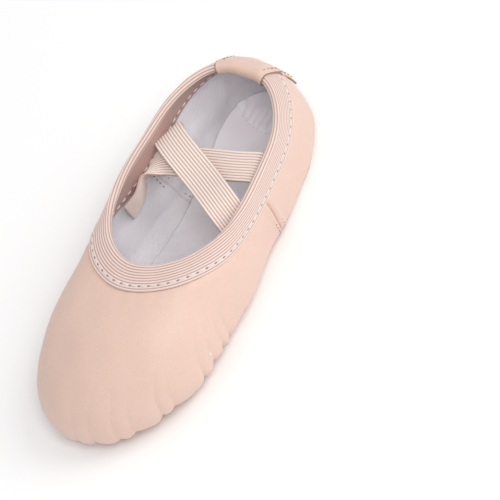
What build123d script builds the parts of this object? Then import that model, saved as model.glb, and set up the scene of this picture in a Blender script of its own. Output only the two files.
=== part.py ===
"""Child's split-sole ballet slipper, millimetres.

+X points to the toe, +Y to the left of the wearer, +Z up.  The origin is on the
floor under the middle of the slipper.  The slipper is two soft leather cups, a vamp
in front and a heel cup behind, sewn together in a ring round the arch.  Each cup
has its own suede sole patch, so the slipper folds at that ring.
"""
from build123d import *
from math import cos, hypot, pi, sin, sqrt
import os

os.makedirs("parts", exist_ok=True)

# --- driving dimensions -----------------------------------------------------------
LENGTH = 190.0
BOW = 12.0                  # sideways bow of the centre line, middle against the ends
SIDE_SHIFT = -3.4           # keeps the origin under the middle of the width

# half outlines from heel to toe: (distance from the heel, half width)
SOLE_LINE = [(5, 0), (9, 12), (22, 21.5), (52, 22.5), (90, 25), (133, 33), (170, 24), (184, 0)]
WIDEST_LINE = [(0, 0), (4.5, 15), (20, 26), (52, 30), (90, 32.5), (134, 38), (174, 28.5), (190, 0)]
MOUTH_LINE = [(13, 0), (16, 14.5), (30, 26.5), (55, 32), (81, 33), (102, 27), (115, 15), (120, 0)]
FRONT_PATCH_LINE = [(76, 0), (79, 8), (91, 14), (112, 20.5), (136, 27), (155, 25), (164.5, 16), (168.5, 0)]
HEEL_PATCH_LINE = [(7, 0), (10, 10.5), (20, 20), (33, 25), (44, 24), (53, 17), (57.5, 9), (59, 0)]

WIDEST_HEIGHT = 11.0        # the widest line above the floor
HEEL_HEIGHT = 40.0          # leather edge at the back of the mouth
THROAT_HEIGHT = 48.0        # leather edge at the front of the mouth
HEEL_CLOSING = 0.78         # how far each wall has closed over at the mouth, 0 to 1
SIDE_CLOSING = 0.83
THROAT_CLOSING = 0.95
PUFF = 1.5                  # how far the side walls bulge between sole and mouth

PATCH = 1.3                 # suede of the sole patches
LEATHER = 0.9
LINING = 0.5
ELASTIC = 0.8
BOARD = 1.5                 # insole boards
SOCK = 0.5
NIP = 0.1                   # between layers sewn to each other
GAP = 0.3                   # between layers on different halves of the slipper

SEAM_X = -27.0              # ring seam round the arch, where the slipper folds
BAND = 11.5                 # outside width of the topline elastic
STRAP_WIDTH = 15.0
STRAP = 1.0                 # thickness of the crossed straps
THREAD = 0.55               # diameter of the sewing thread

ZONE_TURN = 18.0            # from the throat back to where the edge zone turns inwards
ZONE_OVERLAP = 20.0         # how far its two rules overlap there
ZONE_OVER_VAMP = 0.95       # its depth over the vamp, as a share of its depth at the heel
ZONE_AT_TURN = 0.8
ZONE_AHEAD = 0.6
BELOW, ABOVE = -5.0, 80.0   # heights that clear the whole slipper
OUTSIDE = 5.0               # how far cutting slabs reach past the slipper
MOUTH_REACH = 15.0          # how far the space inside is carried up through the mouth
PATCH_CLEAR = 0.02          # between a patch and the leather it is sewn to

HALF = LENGTH / 2
HEEL_X = 1.0 - HALF         # back of the leather; the heel tab stands 2 mm behind it
MOUTH_BACK = MOUTH_LINE[0][0] + HEEL_X
MOUTH_FRONT = MOUTH_LINE[-1][0] + HEEL_X
BODY_HEIGHT = (HEEL_HEIGHT + THROAT_HEIGHT) / 2 - PATCH


# --- the foot form ----------------------------------------------------------------
def centre(x):
    """Sideways place of the bowed centre line."""
    return SIDE_SHIFT + BOW * (0.5 - (x / HALF) ** 2)


def closed(half):
    """Whole outline, round from the heel and back, from a half outline."""
    mirrored = [(x, -y) for x, y in half[-2:0:-1]]
    return [(x + HEEL_X, y) for x, y in half + mirrored]


def inwards(points, inset):
    """The outline moved inwards by `inset` and bowed to the centre line."""
    moved = []
    for i, (x, y) in enumerate(points):
        before = points[i - 1]
        after = points[(i + 1) % len(points)]
        tangent = (after[0] - before[0], after[1] - before[1])
        size = hypot(*tangent)
        x_in = x + inset * tangent[1] / size
        y_in = y - inset * tangent[0] / size
        moved.append((x_in, y_in + centre(x_in)))
    return moved


def between(first, second, share):
    """Outline a share of the way from the first one to the second one."""
    return [
        (a[0] + (b[0] - a[0]) * share, a[1] + (b[1] - a[1]) * share)
        for a, b in zip(first, second)
    ]


def wall_rings(level):
    """Outline of the wall at a level from 0, the widest line, to 1, the mouth.

    Each wall closes over like a quarter ellipse that stops at the mouth: nearly
    upright at the sides and nearly level at the throat.
    """
    points = []
    for i, (wide, mouth) in enumerate(zip(closed(WIDEST_LINE), closed(MOUTH_LINE))):
        front = 0.5 - 0.5 * cos(2 * pi * i / len(closed(WIDEST_LINE)))
        closing = HEEL_CLOSING + (SIDE_CLOSING - HEEL_CLOSING) * min(1, 2 * front)
        closing += (THROAT_CLOSING - SIDE_CLOSING) * max(0, 2 * front - 1)
        end = sqrt(1 - closing**2)
        share = (sqrt(1 - (closing * level) ** 2) - end) / (1 - end)
        puff = PUFF * sin(pi * level) * sin(pi * front) * (1 if wide[1] > 0 else -1)
        x = mouth[0] + (wide[0] - mouth[0]) * share
        y = mouth[1] + (wide[1] - mouth[1]) * share + puff
        points.append((x, y))
    return points


def ring(level, inset):
    """Plane and outline of one ring of the form, from -1, the sole, to 1, the mouth."""
    if level < 0:
        share = sqrt(1 - level**2)
        points = between(closed(SOLE_LINE), closed(WIDEST_LINE), share)
        height = PATCH + (WIDEST_HEIGHT - PATCH) * (1 + level)
        slope = 0
    else:
        points = wall_rings(level)
        rise = (THROAT_HEIGHT - HEEL_HEIGHT) / (MOUTH_FRONT - MOUTH_BACK)
        mouth_height = HEEL_HEIGHT - rise * MOUTH_BACK
        height = WIDEST_HEIGHT + (mouth_height - WIDEST_HEIGHT) * level
        slope = rise * level
    shrink = 1 - 2 * inset / BODY_HEIGHT
    height = PATCH + inset + (height - PATCH) * shrink
    slope = slope * shrink
    plane = Plane(origin=(0, 0, height), x_dir=(1, 0, slope), z_dir=(-slope, 0, 1))
    stretch = hypot(1, slope)
    return plane, [(x * stretch, y) for x, y in inwards(points, inset)]


LEVELS = (-1, -0.85, -0.6, -0.3, 0, 0.25, 0.5, 0.7, 0.85, 0.95, 1)


def form(inset):
    """Solid of the slipper's outside, each face moved inwards by `inset`."""
    with BuildPart() as shape:
        for level in LEVELS:
            plane, points = ring(level, inset)
            with BuildSketch(plane):
                with BuildLine():
                    Spline(*points, periodic=True)
                make_face()
        loft()
    return shape.part


def hollow(inset):
    """Solid of the space inside, open upwards through the mouth."""
    plane, points = ring(1, inset)
    with BuildPart() as shape:
        add(form(inset))
        with BuildSketch(plane):
            with BuildLine():
                Spline(*points, periodic=True)
            make_face()
        extrude(amount=MOUTH_REACH, dir=(0, 0, 1))
    return shape.part


def plate(half, inset, bottom, thickness):
    """Flat plate with one of the outlines above."""
    with BuildPart() as shape:
        with BuildSketch(Plane.XY.offset(bottom)):
            with BuildLine():
                Spline(*inwards(closed(half), inset), periodic=True)
            make_face()
        extrude(amount=thickness)
    return shape.part


def finish(part, name):
    part.label = name
    export_step(part, f"parts/{name}.step")




# --- zones that the pieces are cut to -----------------------------------------------
def slab(back, front, right, left, bottom, top):
    """Box between six faces."""
    with BuildPart() as box:
        with BuildSketch(Plane.XY.offset(bottom)):
            with Locations(((back + front) / 2, (right + left) / 2)):
                Rectangle(front - back, left - right)
        extrude(amount=top - bottom)
    return box.part


def edge_zone(depth):
    """Everything within about `depth` of the mouth's edge, measured on the wall.

    At the sides a line seen from the side bounds it, and over the vamp, where the
    wall is nearly level, the mouth's own outline widened by that depth.
    """
    rise = (THROAT_HEIGHT - HEEL_HEIGHT) / (MOUTH_FRONT - MOUTH_BACK)
    back_height = HEEL_HEIGHT - depth
    side_x = MOUTH_FRONT - ZONE_TURN
    ahead_x = MOUTH_FRONT + ZONE_OVERLAP
    widened_mouth = plate(MOUTH_LINE, -ZONE_OVER_VAMP * depth, 0, 2 * THROAT_HEIGHT)
    widened_mouth += slab(-LENGTH, side_x - ZONE_OVERLAP, -HALF, HALF, 0, 2 * THROAT_HEIGHT)
    with BuildPart() as zone:
        with BuildSketch(Plane.XZ):
            with BuildLine():
                low = Spline(
                    (-HALF - OUTSIDE, back_height),
                    (SEAM_X, back_height + rise * (SEAM_X - MOUTH_BACK)),
                    (side_x, HEEL_HEIGHT + rise * (side_x - MOUTH_BACK) - ZONE_AT_TURN * depth),
                    (ahead_x, THROAT_HEIGHT - ZONE_AHEAD * depth),
                )
                Polyline(
                    low @ 1,
                    (ahead_x, ABOVE),
                    (-HALF - OUTSIDE, ABOVE),
                    low @ 0,
                )
            make_face()
        extrude(amount=HALF, both=True)
        add(widened_mouth, mode=Mode.INTERSECT)
    return zone.part


def stitch_places(line, pitch):
    """Where the stitches of a row lie: evenly spaced planes across a line."""
    count = round(line.length / pitch)
    return [
        Plane(origin=line.position_at(i / count), z_dir=line.tangent_at(i / count))
        for i in range(count)
    ]


FRONT_SIDE = slab(SEAM_X + GAP / 2, HALF + OUTSIDE, -HALF, HALF, BELOW, ABOVE)
HEEL_SIDE = slab(-HALF - OUTSIDE, SEAM_X - GAP / 2, -HALF, HALF, BELOW, ABOVE)

# --- leather: the vamp and the two quarters -------------------------------------------
MARGIN = 8.0                # leather turned under beneath the patches

OPENING = 3.0               # depth of the cutters that open the leather under the patches

front_opening = plate(FRONT_PATCH_LINE, MARGIN, PATCH - LEATHER, OPENING)
heel_opening = plate(HEEL_PATCH_LINE, MARGIN, PATCH - LEATHER, OPENING)

with BuildPart() as vamp:
    add(form(0))
    add(hollow(LEATHER), mode=Mode.SUBTRACT)
    add(front_opening, mode=Mode.SUBTRACT)
    add(FRONT_SIDE, mode=Mode.INTERSECT)
finish(vamp.part, "vamp")

with BuildPart() as heel_cup:
    add(form(0))
    add(hollow(LEATHER), mode=Mode.SUBTRACT)
    add(heel_opening, mode=Mode.SUBTRACT)
    add(HEEL_SIDE, mode=Mode.INTERSECT)
back_seam = Plane(
    origin=(HEEL_X, centre(HEEL_X), 0),
    x_dir=(SEAM_X - HEEL_X, centre(SEAM_X) - centre(HEEL_X), 0),
    z_dir=(centre(HEEL_X) - centre(SEAM_X), SEAM_X - HEEL_X, 0),
)
with BuildPart() as quarter_left:
    add(heel_cup.part)
    split(bisect_by=back_seam.offset(NIP / 2), keep=Keep.TOP)
finish(quarter_left.part, "quarter_left")

with BuildPart() as quarter_right:
    add(heel_cup.part)
    split(bisect_by=back_seam.offset(-NIP / 2), keep=Keep.BOTTOM)
finish(quarter_right.part, "quarter_right")

# --- cotton lining --------------------------------------------------------------------
LINING_OUT = LEATHER + NIP
LINING_IN = LINING_OUT + LINING
lining_opening = plate(SOLE_LINE, MARGIN, PATCH, LINING_IN + OPENING)

with BuildPart() as lining:
    add(form(LINING_OUT))
    add(hollow(LINING_IN), mode=Mode.SUBTRACT)
    add(lining_opening, mode=Mode.SUBTRACT)
with BuildPart() as vamp_lining:
    add(lining.part)
    add(FRONT_SIDE, mode=Mode.INTERSECT)
finish(vamp_lining.part, "vamp_lining")

with BuildPart() as quarter_lining:
    add(lining.part)
    add(HEEL_SIDE, mode=Mode.INTERSECT)
finish(quarter_lining.part, "quarter_lining")

# --- topline elastic, folded over the mouth's edge --------------------------------------
ELASTIC_IN = LINING_IN + GAP + ELASTIC

with BuildPart() as topline_elastic:
    add(form(-GAP - ELASTIC))
    add(hollow(ELASTIC_IN), mode=Mode.SUBTRACT)
    add(form(-GAP) - hollow(LINING_IN + GAP), mode=Mode.SUBTRACT)
    add(edge_zone(BAND), mode=Mode.INTERSECT)
finish(topline_elastic.part, "topline_elastic")


# --- heel tab: a leather strip up the back and over the elastic's two ends ----------------
TAB_OUT = GAP + ELASTIC + GAP
TAB_IN = ELASTIC_IN + GAP
TAB_HALF = 13.0             # half width over the mouth's edge
TAB_FOOT = 12.0             # height of the strip's lower end on the outside
TAB_INSIDE = 7.5            # how far it reaches down inside

heel_middle = centre(MOUTH_BACK)
tab_right = heel_middle - TAB_HALF
tab_left = heel_middle + TAB_HALF
tab_strip = slab(-HALF - OUTSIDE, 2 * SEAM_X, tab_right, tab_left, TAB_FOOT, ABOVE)
tab_inner_cut = slab(HEEL_X, 0, -HALF, HALF, 0, HEEL_HEIGHT - TAB_INSIDE)

with BuildPart() as heel_tab:
    add(form(-TAB_OUT - LEATHER))
    add(hollow(TAB_IN + LEATHER), mode=Mode.SUBTRACT)
    add(form(-TAB_OUT) - hollow(TAB_IN), mode=Mode.SUBTRACT)
    add(tab_strip, mode=Mode.INTERSECT)
    add(tab_inner_cut & hollow(TAB_IN), mode=Mode.SUBTRACT)
finish(heel_tab.part, "heel_tab")

# --- insole: two stiff boards with a gap at the arch, under one cotton sock ---------------
FLOOR = PATCH + LINING_IN + NIP
BOARD_INSET = 1.5
SOCK_INSET = 0.5
ARCH_GAP = 14.0             # bare stretch under the arch, where the slipper folds

board_blank = plate(SOLE_LINE, BOARD_INSET, FLOOR, BOARD)
with BuildPart() as forefoot_board:
    add(board_blank)
    add(slab(SEAM_X + ARCH_GAP / 2, HALF, -HALF, HALF, 0, ABOVE), mode=Mode.INTERSECT)
finish(forefoot_board.part, "forefoot_board")

with BuildPart() as heel_board:
    add(board_blank)
    add(slab(-HALF, SEAM_X - ARCH_GAP / 2, -HALF, HALF, 0, ABOVE), mode=Mode.INTERSECT)
finish(heel_board.part, "heel_board")

with BuildPart() as insole_sock:
    add(plate(SOLE_LINE, SOCK_INSET, FLOOR + BOARD + GAP, SOCK))
finish(insole_sock.part, "insole_sock")

# --- suede sole patches ---------------------------------------------------------------
with BuildPart() as front_sole_patch:
    add(plate(FRONT_PATCH_LINE, 0, 0, PATCH - PATCH_CLEAR))
finish(front_sole_patch.part, "front_sole_patch")

with BuildPart() as heel_sole_patch:
    add(plate(HEEL_PATCH_LINE, 0, 0, PATCH - PATCH_CLEAR))
finish(heel_sole_patch.part, "heel_sole_patch")

# --- crossed straps, sewn to the walls inside -----------------------------------------------
# each station: (x, sideways from the straight middle line, z), direction across the strap
OVER_STRAP_ROUTE = [
    ((-43.5, -25.0, 31.0), (0.93, -0.37, 0.0)),
    ((-42.8, -24.0, 36.0), (0.93, -0.37, 0.0)),
    ((-40.0, -19.5, 39.5), (0.92, -0.38, 0.0)),
    ((-25.0, 9.0, 41.5), (0.88, -0.47, 0.0)),
    ((-13.5, 30.0, 42.0), (0.90, -0.43, 0.0)),
    ((-11.6, 33.3, 38.0), (0.93, -0.35, 0.0)),
]
UNDER_STRAP_ROUTE = [
    ((-39.5, 30.5, 33.0), (1.0, 0.10, 0.0)),
    ((-39.0, 29.0, 37.0), (1.0, 0.10, 0.0)),
    ((-37.5, 24.0, 38.3), (1.0, 0.12, 0.0)),
    ((-34.5, 6.0, 37.0), (0.97, 0.20, 0.0)),
    ((-32.0, -6.0, 36.0), (0.94, 0.30, 0.1)),
    ((-25.5, -16.5, 34.5), (0.72, 0.42, 0.50)),
    ((-12.0, -22.0, 32.5), (0.0, 0.28, 0.95)),
    ((-3.0, -23.5, 32.0), (-0.12, 0.25, 0.95)),
]


def ribbon(route):
    """Flat strap carried along a route, turning with the direction given across it."""
    middles = Spline(*[(x, y + SIDE_SHIFT, z) for (x, y, z), _ in route])
    with BuildPart() as strap:
        for (x, y, z), across in route:
            place = Vector(x, y + SIDE_SHIFT, z)
            along = middles.tangent_at(middles.param_at_point(place))
            with BuildSketch(Plane(origin=place, x_dir=across, z_dir=along)):
                Rectangle(STRAP_WIDTH, STRAP)
        loft()
    return strap.part


cavity = hollow(ELASTIC_IN + GAP)
with BuildPart() as over_strap:
    add(ribbon(OVER_STRAP_ROUTE))
    add(cavity, mode=Mode.INTERSECT)
finish(over_strap.part, "over_strap")

with BuildPart() as under_strap:
    add(ribbon(UNDER_STRAP_ROUTE))
    add(cavity, mode=Mode.INTERSECT)
finish(under_strap.part, "under_strap")


# --- sewing threads, each a group of short stitches half sunk in what they hold -------------
STITCH = 3.0
STITCH_PITCH = 4.4          # of the long white stitches round the mouth
SOLE_PITCH = 3.2            # of the brown stitches round the patches
SEAM_PITCH = 2.8            # of the fine stitches beside the ring seam
SOLE_MARGIN = 2.8           # from a patch's cut edge to its stitches
BAND_MARGIN = 2.3           # from the elastic's outer edge to its stitches
SEAM_MARGIN = 2.2           # from the ring seam to the row on each side
TAB_MARGIN = 2.5            # from the tab's cut edges to its rows
SOCK_ROW_X = -73.0          # ends of the curved row across the sock
SOCK_ROW_HALF = 15.0
SOCK_ROW_RISE = 5.0
TACK_PITCH = 4.0
TACK = 3.0
LINE_POINTS = 44            # points that a line round the mouth passes through
LINE_STEP = 0.04            # between the levels that it is measured on
LINE_ROWS = 21
TAB_CLEAR = 2.0             # from the tab's edges and ends to where stitches may lie
STITCH_DEPTH = 0.35         # height of the sole stitches
SOLE_STITCH = 2.0
SHORT_STITCH = 1.8


def threads(name, places, length):
    """One node of separate stitches."""
    with BuildPart() as row:
        with Locations(*places):
            Cylinder(THREAD / 2, length)
    finish(row.part, name)


def wall_line(depth, inset):
    """Closed line on the wall, `depth` below the mouth's edge measured along the wall."""
    levels = [1 - LINE_STEP * step for step in range(LINE_ROWS)]
    rings = []
    for level in levels:
        plane, points = ring(level, inset)
        rings.append(Spline(*[plane.from_local_coords((x, y, 0)) for x, y in points], periodic=True))
    line = []
    for place in range(LINE_POINTS):
        path = [curve.position_at(place / LINE_POINTS) for curve in rings]
        walked = 0
        for upper, lower in zip(path, path[1:]):
            step = (lower - upper).length
            if walked + step > depth:
                line.append(upper + (lower - upper) * ((depth - walked) / step))
                break
            walked += step
    return Spline(*line, periodic=True)


band_line = wall_line(BAND - BAND_MARGIN, -GAP - ELASTIC)
tab_front = MOUTH_BACK + TAB_CLEAR
band_places = [p for p in stitch_places(band_line, STITCH_PITCH) if p.origin.X > tab_front]
threads("topline_stitching", band_places, STITCH)


def sole_places(half):
    """Stitch places round a patch, just above its underside."""
    line = plate(half, SOLE_MARGIN, STITCH_DEPTH, PATCH).faces().sort_by(Axis.Z)[0].outer_wire()
    return stitch_places(line, SOLE_PITCH)


threads("front_sole_stitching", sole_places(FRONT_PATCH_LINE), SOLE_STITCH)
threads("heel_sole_stitching", sole_places(HEEL_PATCH_LINE), SOLE_STITCH)


def seam_places(x):
    """Stitch places round the leather at one distance from the heel, below the elastic."""
    ahead = form(0) & slab(x, LENGTH, -HALF, HALF, BELOW, ABOVE)
    line = ahead.faces().sort_by(Axis.X)[0].outer_wire()
    return [p for p in stitch_places(line, SEAM_PITCH) if p.origin.Z < HEEL_HEIGHT - BAND]


threads("front_seam_stitching", seam_places(SEAM_X + SEAM_MARGIN), SHORT_STITCH)
threads("rear_seam_stitching", seam_places(SEAM_X - SEAM_MARGIN), SHORT_STITCH)

# rows beside the tab's two cut edges, up the outside of the heel
tab_form = form(-TAB_OUT - LEATHER)
tab_rows = []
for side in (-1, 1):
    row_y = heel_middle + side * (TAB_HALF - TAB_MARGIN)
    beside = tab_form & slab(-LENGTH, LENGTH, row_y, HALF, BELOW, ABOVE)
    line = beside.faces().sort_by(Axis.Y)[0].outer_wire()
    for place in stitch_places(line, SEAM_PITCH):
        if place.origin.X < MOUTH_BACK and TAB_FOOT + TAB_CLEAR < place.origin.Z < HEEL_HEIGHT - TAB_CLEAR:
            tab_rows.append(place)
threads("heel_tab_stitching", tab_rows, SHORT_STITCH)

# the sock's curved row over the front of the heel board
sock_top = FLOOR + BOARD + GAP + SOCK
with BuildLine(Plane.XY.offset(sock_top)) as sock_row:
    ThreePointArc(
        (SOCK_ROW_X, centre(SOCK_ROW_X) - SOCK_ROW_HALF),
        (SOCK_ROW_X + SOCK_ROW_RISE, centre(SOCK_ROW_X)),
        (SOCK_ROW_X, centre(SOCK_ROW_X) + SOCK_ROW_HALF),
    )
threads("sock_stitching", stitch_places(sock_row.wire(), SEAM_PITCH), SHORT_STITCH)

# bar tacks at the four ends of the straps
tacks = []
for route in (OVER_STRAP_ROUTE, UNDER_STRAP_ROUTE):
    for (x, y, z), across in (route[0], route[-1]):
        middle = Vector(x, y + SIDE_SHIFT, z)
        for step in (-1, 0, 1):
            tacks.append(Plane(origin=middle + Vector(*across) * step * TACK_PITCH, z_dir=across))
with BuildPart() as strap_tacks:
    with Locations(*tacks):
        Cylinder(THREAD / 2, TACK)
    add(cavity, mode=Mode.INTERSECT)
finish(strap_tacks.part, "strap_tacks")
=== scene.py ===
"""Child's split-sole ballet slipper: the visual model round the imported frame.

Every piece is a surface of two parameters carried by one foot form.  Sizes inside the
shape functions are millimetres, and they become metres when a mesh is made.
"""
import bmesh
import bpy
from math import cos, pi, radians, sin
from mathutils import Matrix, Vector
import numpy as np


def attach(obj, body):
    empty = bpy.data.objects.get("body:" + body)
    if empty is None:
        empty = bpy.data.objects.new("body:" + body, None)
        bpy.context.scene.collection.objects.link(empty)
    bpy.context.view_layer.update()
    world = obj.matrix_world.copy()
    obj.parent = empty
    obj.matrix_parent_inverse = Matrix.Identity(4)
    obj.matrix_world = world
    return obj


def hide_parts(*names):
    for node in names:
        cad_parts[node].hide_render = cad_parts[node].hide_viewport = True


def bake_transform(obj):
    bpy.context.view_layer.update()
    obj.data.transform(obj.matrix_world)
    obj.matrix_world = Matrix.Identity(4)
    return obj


bl_info = {
    "name": "Split-sole ballet slipper",
    "version": (1, 0, 0),
    "blender": (4, 5, 0),
    "location": "View3D > Sidebar > Slipper",
    "description": "Builds a soft ballet slipper with crossed straps and its studio stage",
    "category": "Add Mesh",
}

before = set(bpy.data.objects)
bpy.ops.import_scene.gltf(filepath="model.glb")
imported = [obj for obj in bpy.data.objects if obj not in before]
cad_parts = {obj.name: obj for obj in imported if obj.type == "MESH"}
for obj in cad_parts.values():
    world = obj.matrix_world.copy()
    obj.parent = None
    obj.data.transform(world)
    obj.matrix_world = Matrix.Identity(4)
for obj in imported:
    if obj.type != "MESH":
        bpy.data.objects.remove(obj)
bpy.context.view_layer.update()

MM = 0.001

# --- the last's outlines, as the pattern cutter draws them: (from the heel, half width) ---
SOLE_LINE = [(5, 0), (9, 12), (22, 21.5), (52, 22.5), (90, 25), (133, 33), (170, 24), (184, 0)]
WIDEST_LINE = [(0, 0), (4.5, 15), (20, 26), (52, 30), (90, 32.5), (134, 38), (174, 28.5), (190, 0)]
MOUTH_LINE = [(13, 0), (16, 14.5), (30, 26.5), (55, 32), (81, 33), (102, 27), (115, 15), (120, 0)]
FRONT_PATCH_LINE = [
    (76, 0), (79, 8), (91, 14), (112, 20.5), (136, 27), (155, 25), (164.5, 16), (168.5, 0),
]
HEEL_PATCH_LINE = [(7, 0), (10, 10.5), (20, 20), (33, 25), (44, 24), (53, 17), (57.5, 9), (59, 0)]

FOREFOOT_BOARD_LINE = [
    (74, 0), (75, 10), (81, 16), (104, 19.5), (132, 24.5), (152, 23), (163, 14), (166, 0),
]
SOCK_LINE = [
    (5.5, 0), (9.5, 11.5), (22.5, 21), (52, 21.8), (90, 22.5), (133, 28.5), (166, 20), (177, 0),
]
HEEL_BOARD_LINE = [(7, 0), (10, 10), (20, 18), (34, 20), (47, 20), (56, 16.5), (59.5, 9), (60, 0)]

HALF = 95.0
HEEL_X = -94.0              # back of the leather
BOW = 12.0                  # sideways bow of the middle line
SIDE_SHIFT = -3.4
MOUTH_BACK, MOUTH_FRONT = -81.0, 26.0
HEEL_HEIGHT, THROAT_HEIGHT, WIDEST_HEIGHT = 40.0, 48.0, 11.0
RISE = (THROAT_HEIGHT - HEEL_HEIGHT) / (MOUTH_FRONT - MOUTH_BACK)
HEEL_CLOSING, SIDE_CLOSING, THROAT_CLOSING = 0.78, 0.83, 0.95
PUFF = 1.5
PATCH = 1.3                 # thickness of the sole patches
SEAM_X = -27.0              # ring seam round the arch
LEATHER, LINING, SOCK = 0.9, 0.5, 0.5   # thicknesses
LINING_OUT, LINING_IN = 1.0, 1.5    # lining's faces, inward from the leather's outside
ELASTIC_OUT, ELASTIC_IN = 1.1, 2.6  # elastic's faces, outward and inward from there
SOCK_TOP = 5.2              # height of the sock
SOCK_ROW_X, SOCK_ROW_RISE, SOCK_ROW_HALF = -68.0, 5.0, 15.0     # curved row across it
BAND_EDGE = 11.5            # depth of the elastic's edges, outside and inside
PUCKERS = 34                # round the elastic
LIFT_AT = [-95, -40, -27, -15, 30, 60, 95]      # along the sole
LIFT = [0, 0, 0.7, 0.3, 1.4, 2.8, 5.0]          # how far its edge rises there
VAMP_COLUMNS, QUARTER_COLUMNS, LINING_COLUMNS, BAND_COLUMNS = 440, 150, 260, 640
PLATE_COLUMNS, PLATE_RINGS = 420, 12
HIDE_LOWEST = 0.45          # height that the leather never goes below
STITCH_LINE = 8.9           # depth of the stitches round the mouth
SEAM_PITCH, SEAM_MARGIN, SEAM_TOP = 2.8, 2.2, 13.0  # rows beside the ring seam
SOLE_PITCH, SOLE_MARGIN = 3.2, 2.6      # rows round the patches
TAB_MARGIN, TAB_STITCHES = 2.5, 9       # rows down the heel tab
TRIES = np.linspace(0, 1, 1201)     # shares at which a line round is measured
TUCK_IN, TUCK_UP = 5.5, 2.0  # how far the slack front tucks in and up below its widest line
TAB_HALF = 13.0             # half width of the heel tab's strip
FOLD_RIBS = 4               # ribs that show on the elastic's fold over the edge
SWEEP = 1.25                # evens out the rows where the wall turns level

OVER_STRAP_ROUTE = [
    ((-43.5, -25.0, 31.0), (0.93, -0.37, 0.0)),
    ((-42.8, -24.0, 36.0), (0.93, -0.37, 0.0)),
    ((-40.0, -19.5, 39.5), (0.92, -0.38, 0.0)),
    ((-25.0, 9.0, 41.5), (0.88, -0.47, 0.0)),
    ((-13.5, 30.0, 42.0), (0.90, -0.43, 0.0)),
    ((-11.6, 33.3, 38.0), (0.93, -0.35, 0.0)),
]
UNDER_STRAP_ROUTE = [
    ((-39.5, 30.5, 33.0), (1.0, 0.10, 0.0)),
    ((-39.0, 29.0, 37.0), (1.0, 0.10, 0.0)),
    ((-37.5, 24.0, 38.3), (1.0, 0.12, 0.0)),
    ((-34.5, 6.0, 37.0), (0.97, 0.20, 0.0)),
    ((-31.5, -9.0, 37.0), (0.95, 0.30, 0.0)),
    ((-28.0, -18.5, 37.2), (0.92, 0.37, 0.08)),
    ((-21.5, -23.4, 35.4), (0.62, 0.40, 0.66)),
    ((-12.0, -22.5, 32.8), (0.12, 0.32, 0.94)),
    ((-3.0, -23.8, 31.8), (-0.12, 0.28, 0.95)),
]


# --- shape functions ----------------------------------------------------------------------
def smooth(low, high, value):
    """Rises from 0 at low to 1 at high along 3s^2 - 2s^3."""
    s = np.clip((value - low) / (high - low), 0, 1)
    return s * s * (3 - 2 * s)


def unit(ways):
    """Directions scaled to length 1."""
    return ways / np.linalg.norm(ways, axis=-1, keepdims=True)


def lengths(line):
    """Length along a line, or down each column of a grid, at every point: the steps added up."""
    steps = np.linalg.norm(np.diff(line, axis=0), axis=-1)
    return np.concatenate([0 * steps[:1], np.cumsum(steps, axis=0)])


def centre(x):
    """Middle line: a parabola bowed sideways by BOW."""
    return SIDE_SHIFT + BOW * (0.5 - (x / HALF) ** 2)


def round_outline(half):
    """Whole outline from a half one: out along +Y from the heel, and back mirrored."""
    points = np.array(half + [(x, -y) for x, y in half[-2:0:-1]], float)
    points[:, 0] += HEEL_X
    return points


SOLE, WIDEST, MOUTH = (round_outline(x) for x in (SOLE_LINE, WIDEST_LINE, MOUTH_LINE))
COUNT = len(WIDEST)
CHORDS = np.linalg.norm(np.roll(WIDEST, -1, axis=0) - WIDEST, axis=1)
KNOTS = np.concatenate([[0], np.cumsum(CHORDS) / CHORDS.sum()])
FRONT = 0.5 - 0.5 * np.cos(2 * pi * np.arange(COUNT) / COUNT)
CLOSING = (
    HEEL_CLOSING
    + (SIDE_CLOSING - HEEL_CLOSING) * np.minimum(1, 2 * FRONT)
    + (THROAT_CLOSING - SIDE_CLOSING) * np.maximum(0, 2 * FRONT - 1)
)
CLOSING_END = np.sqrt(1 - CLOSING**2)
SIDES = np.where(WIDEST[:, 1] > 0, 1, -1)


def bend_table():
    """Matrix that turns a closed curve's points into its second slopes, so that each span's
    cubic meets the next with the same slope and bend."""
    span = np.diff(KNOTS)
    before = np.roll(span, 1)
    eye = np.eye(COUNT)
    last, after = np.roll(eye, -1, axis=1), np.roll(eye, 1, axis=1)
    system = before[:, None] * last + 2 * (before + span)[:, None] * eye + span[:, None] * after
    turns = 6 * ((after - eye) / span[:, None] - (eye - last) / before[:, None])
    return np.linalg.solve(system, turns)


BEND = bend_table()


def round_weights(share):
    """Weights of the outline's points at a share of the way round, by a cubic on each span."""
    share = np.mod(share, 1.0)
    j = np.clip(np.searchsorted(KNOTS, share, side="right") - 1, 0, COUNT - 1)
    size = np.diff(KNOTS)[j]
    b = (share - KNOTS[j]) / size
    a = 1 - b
    eye = np.eye(COUNT)
    k = (j + 1) % COUNT
    return (
        a[..., None] * eye[j]
        + b[..., None] * eye[k]
        + ((a**3 - a) * size**2 / 6)[..., None] * BEND[j]
        + ((b**3 - b) * size**2 / 6)[..., None] * BEND[k]
    )


def outline(points, share):
    """Point at a share of the way round an outline, bowed to the middle line."""
    bowed = points + np.stack([0 * points[:, 0], centre(points[:, 0])], axis=-1)
    return round_weights(share) @ bowed


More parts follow.
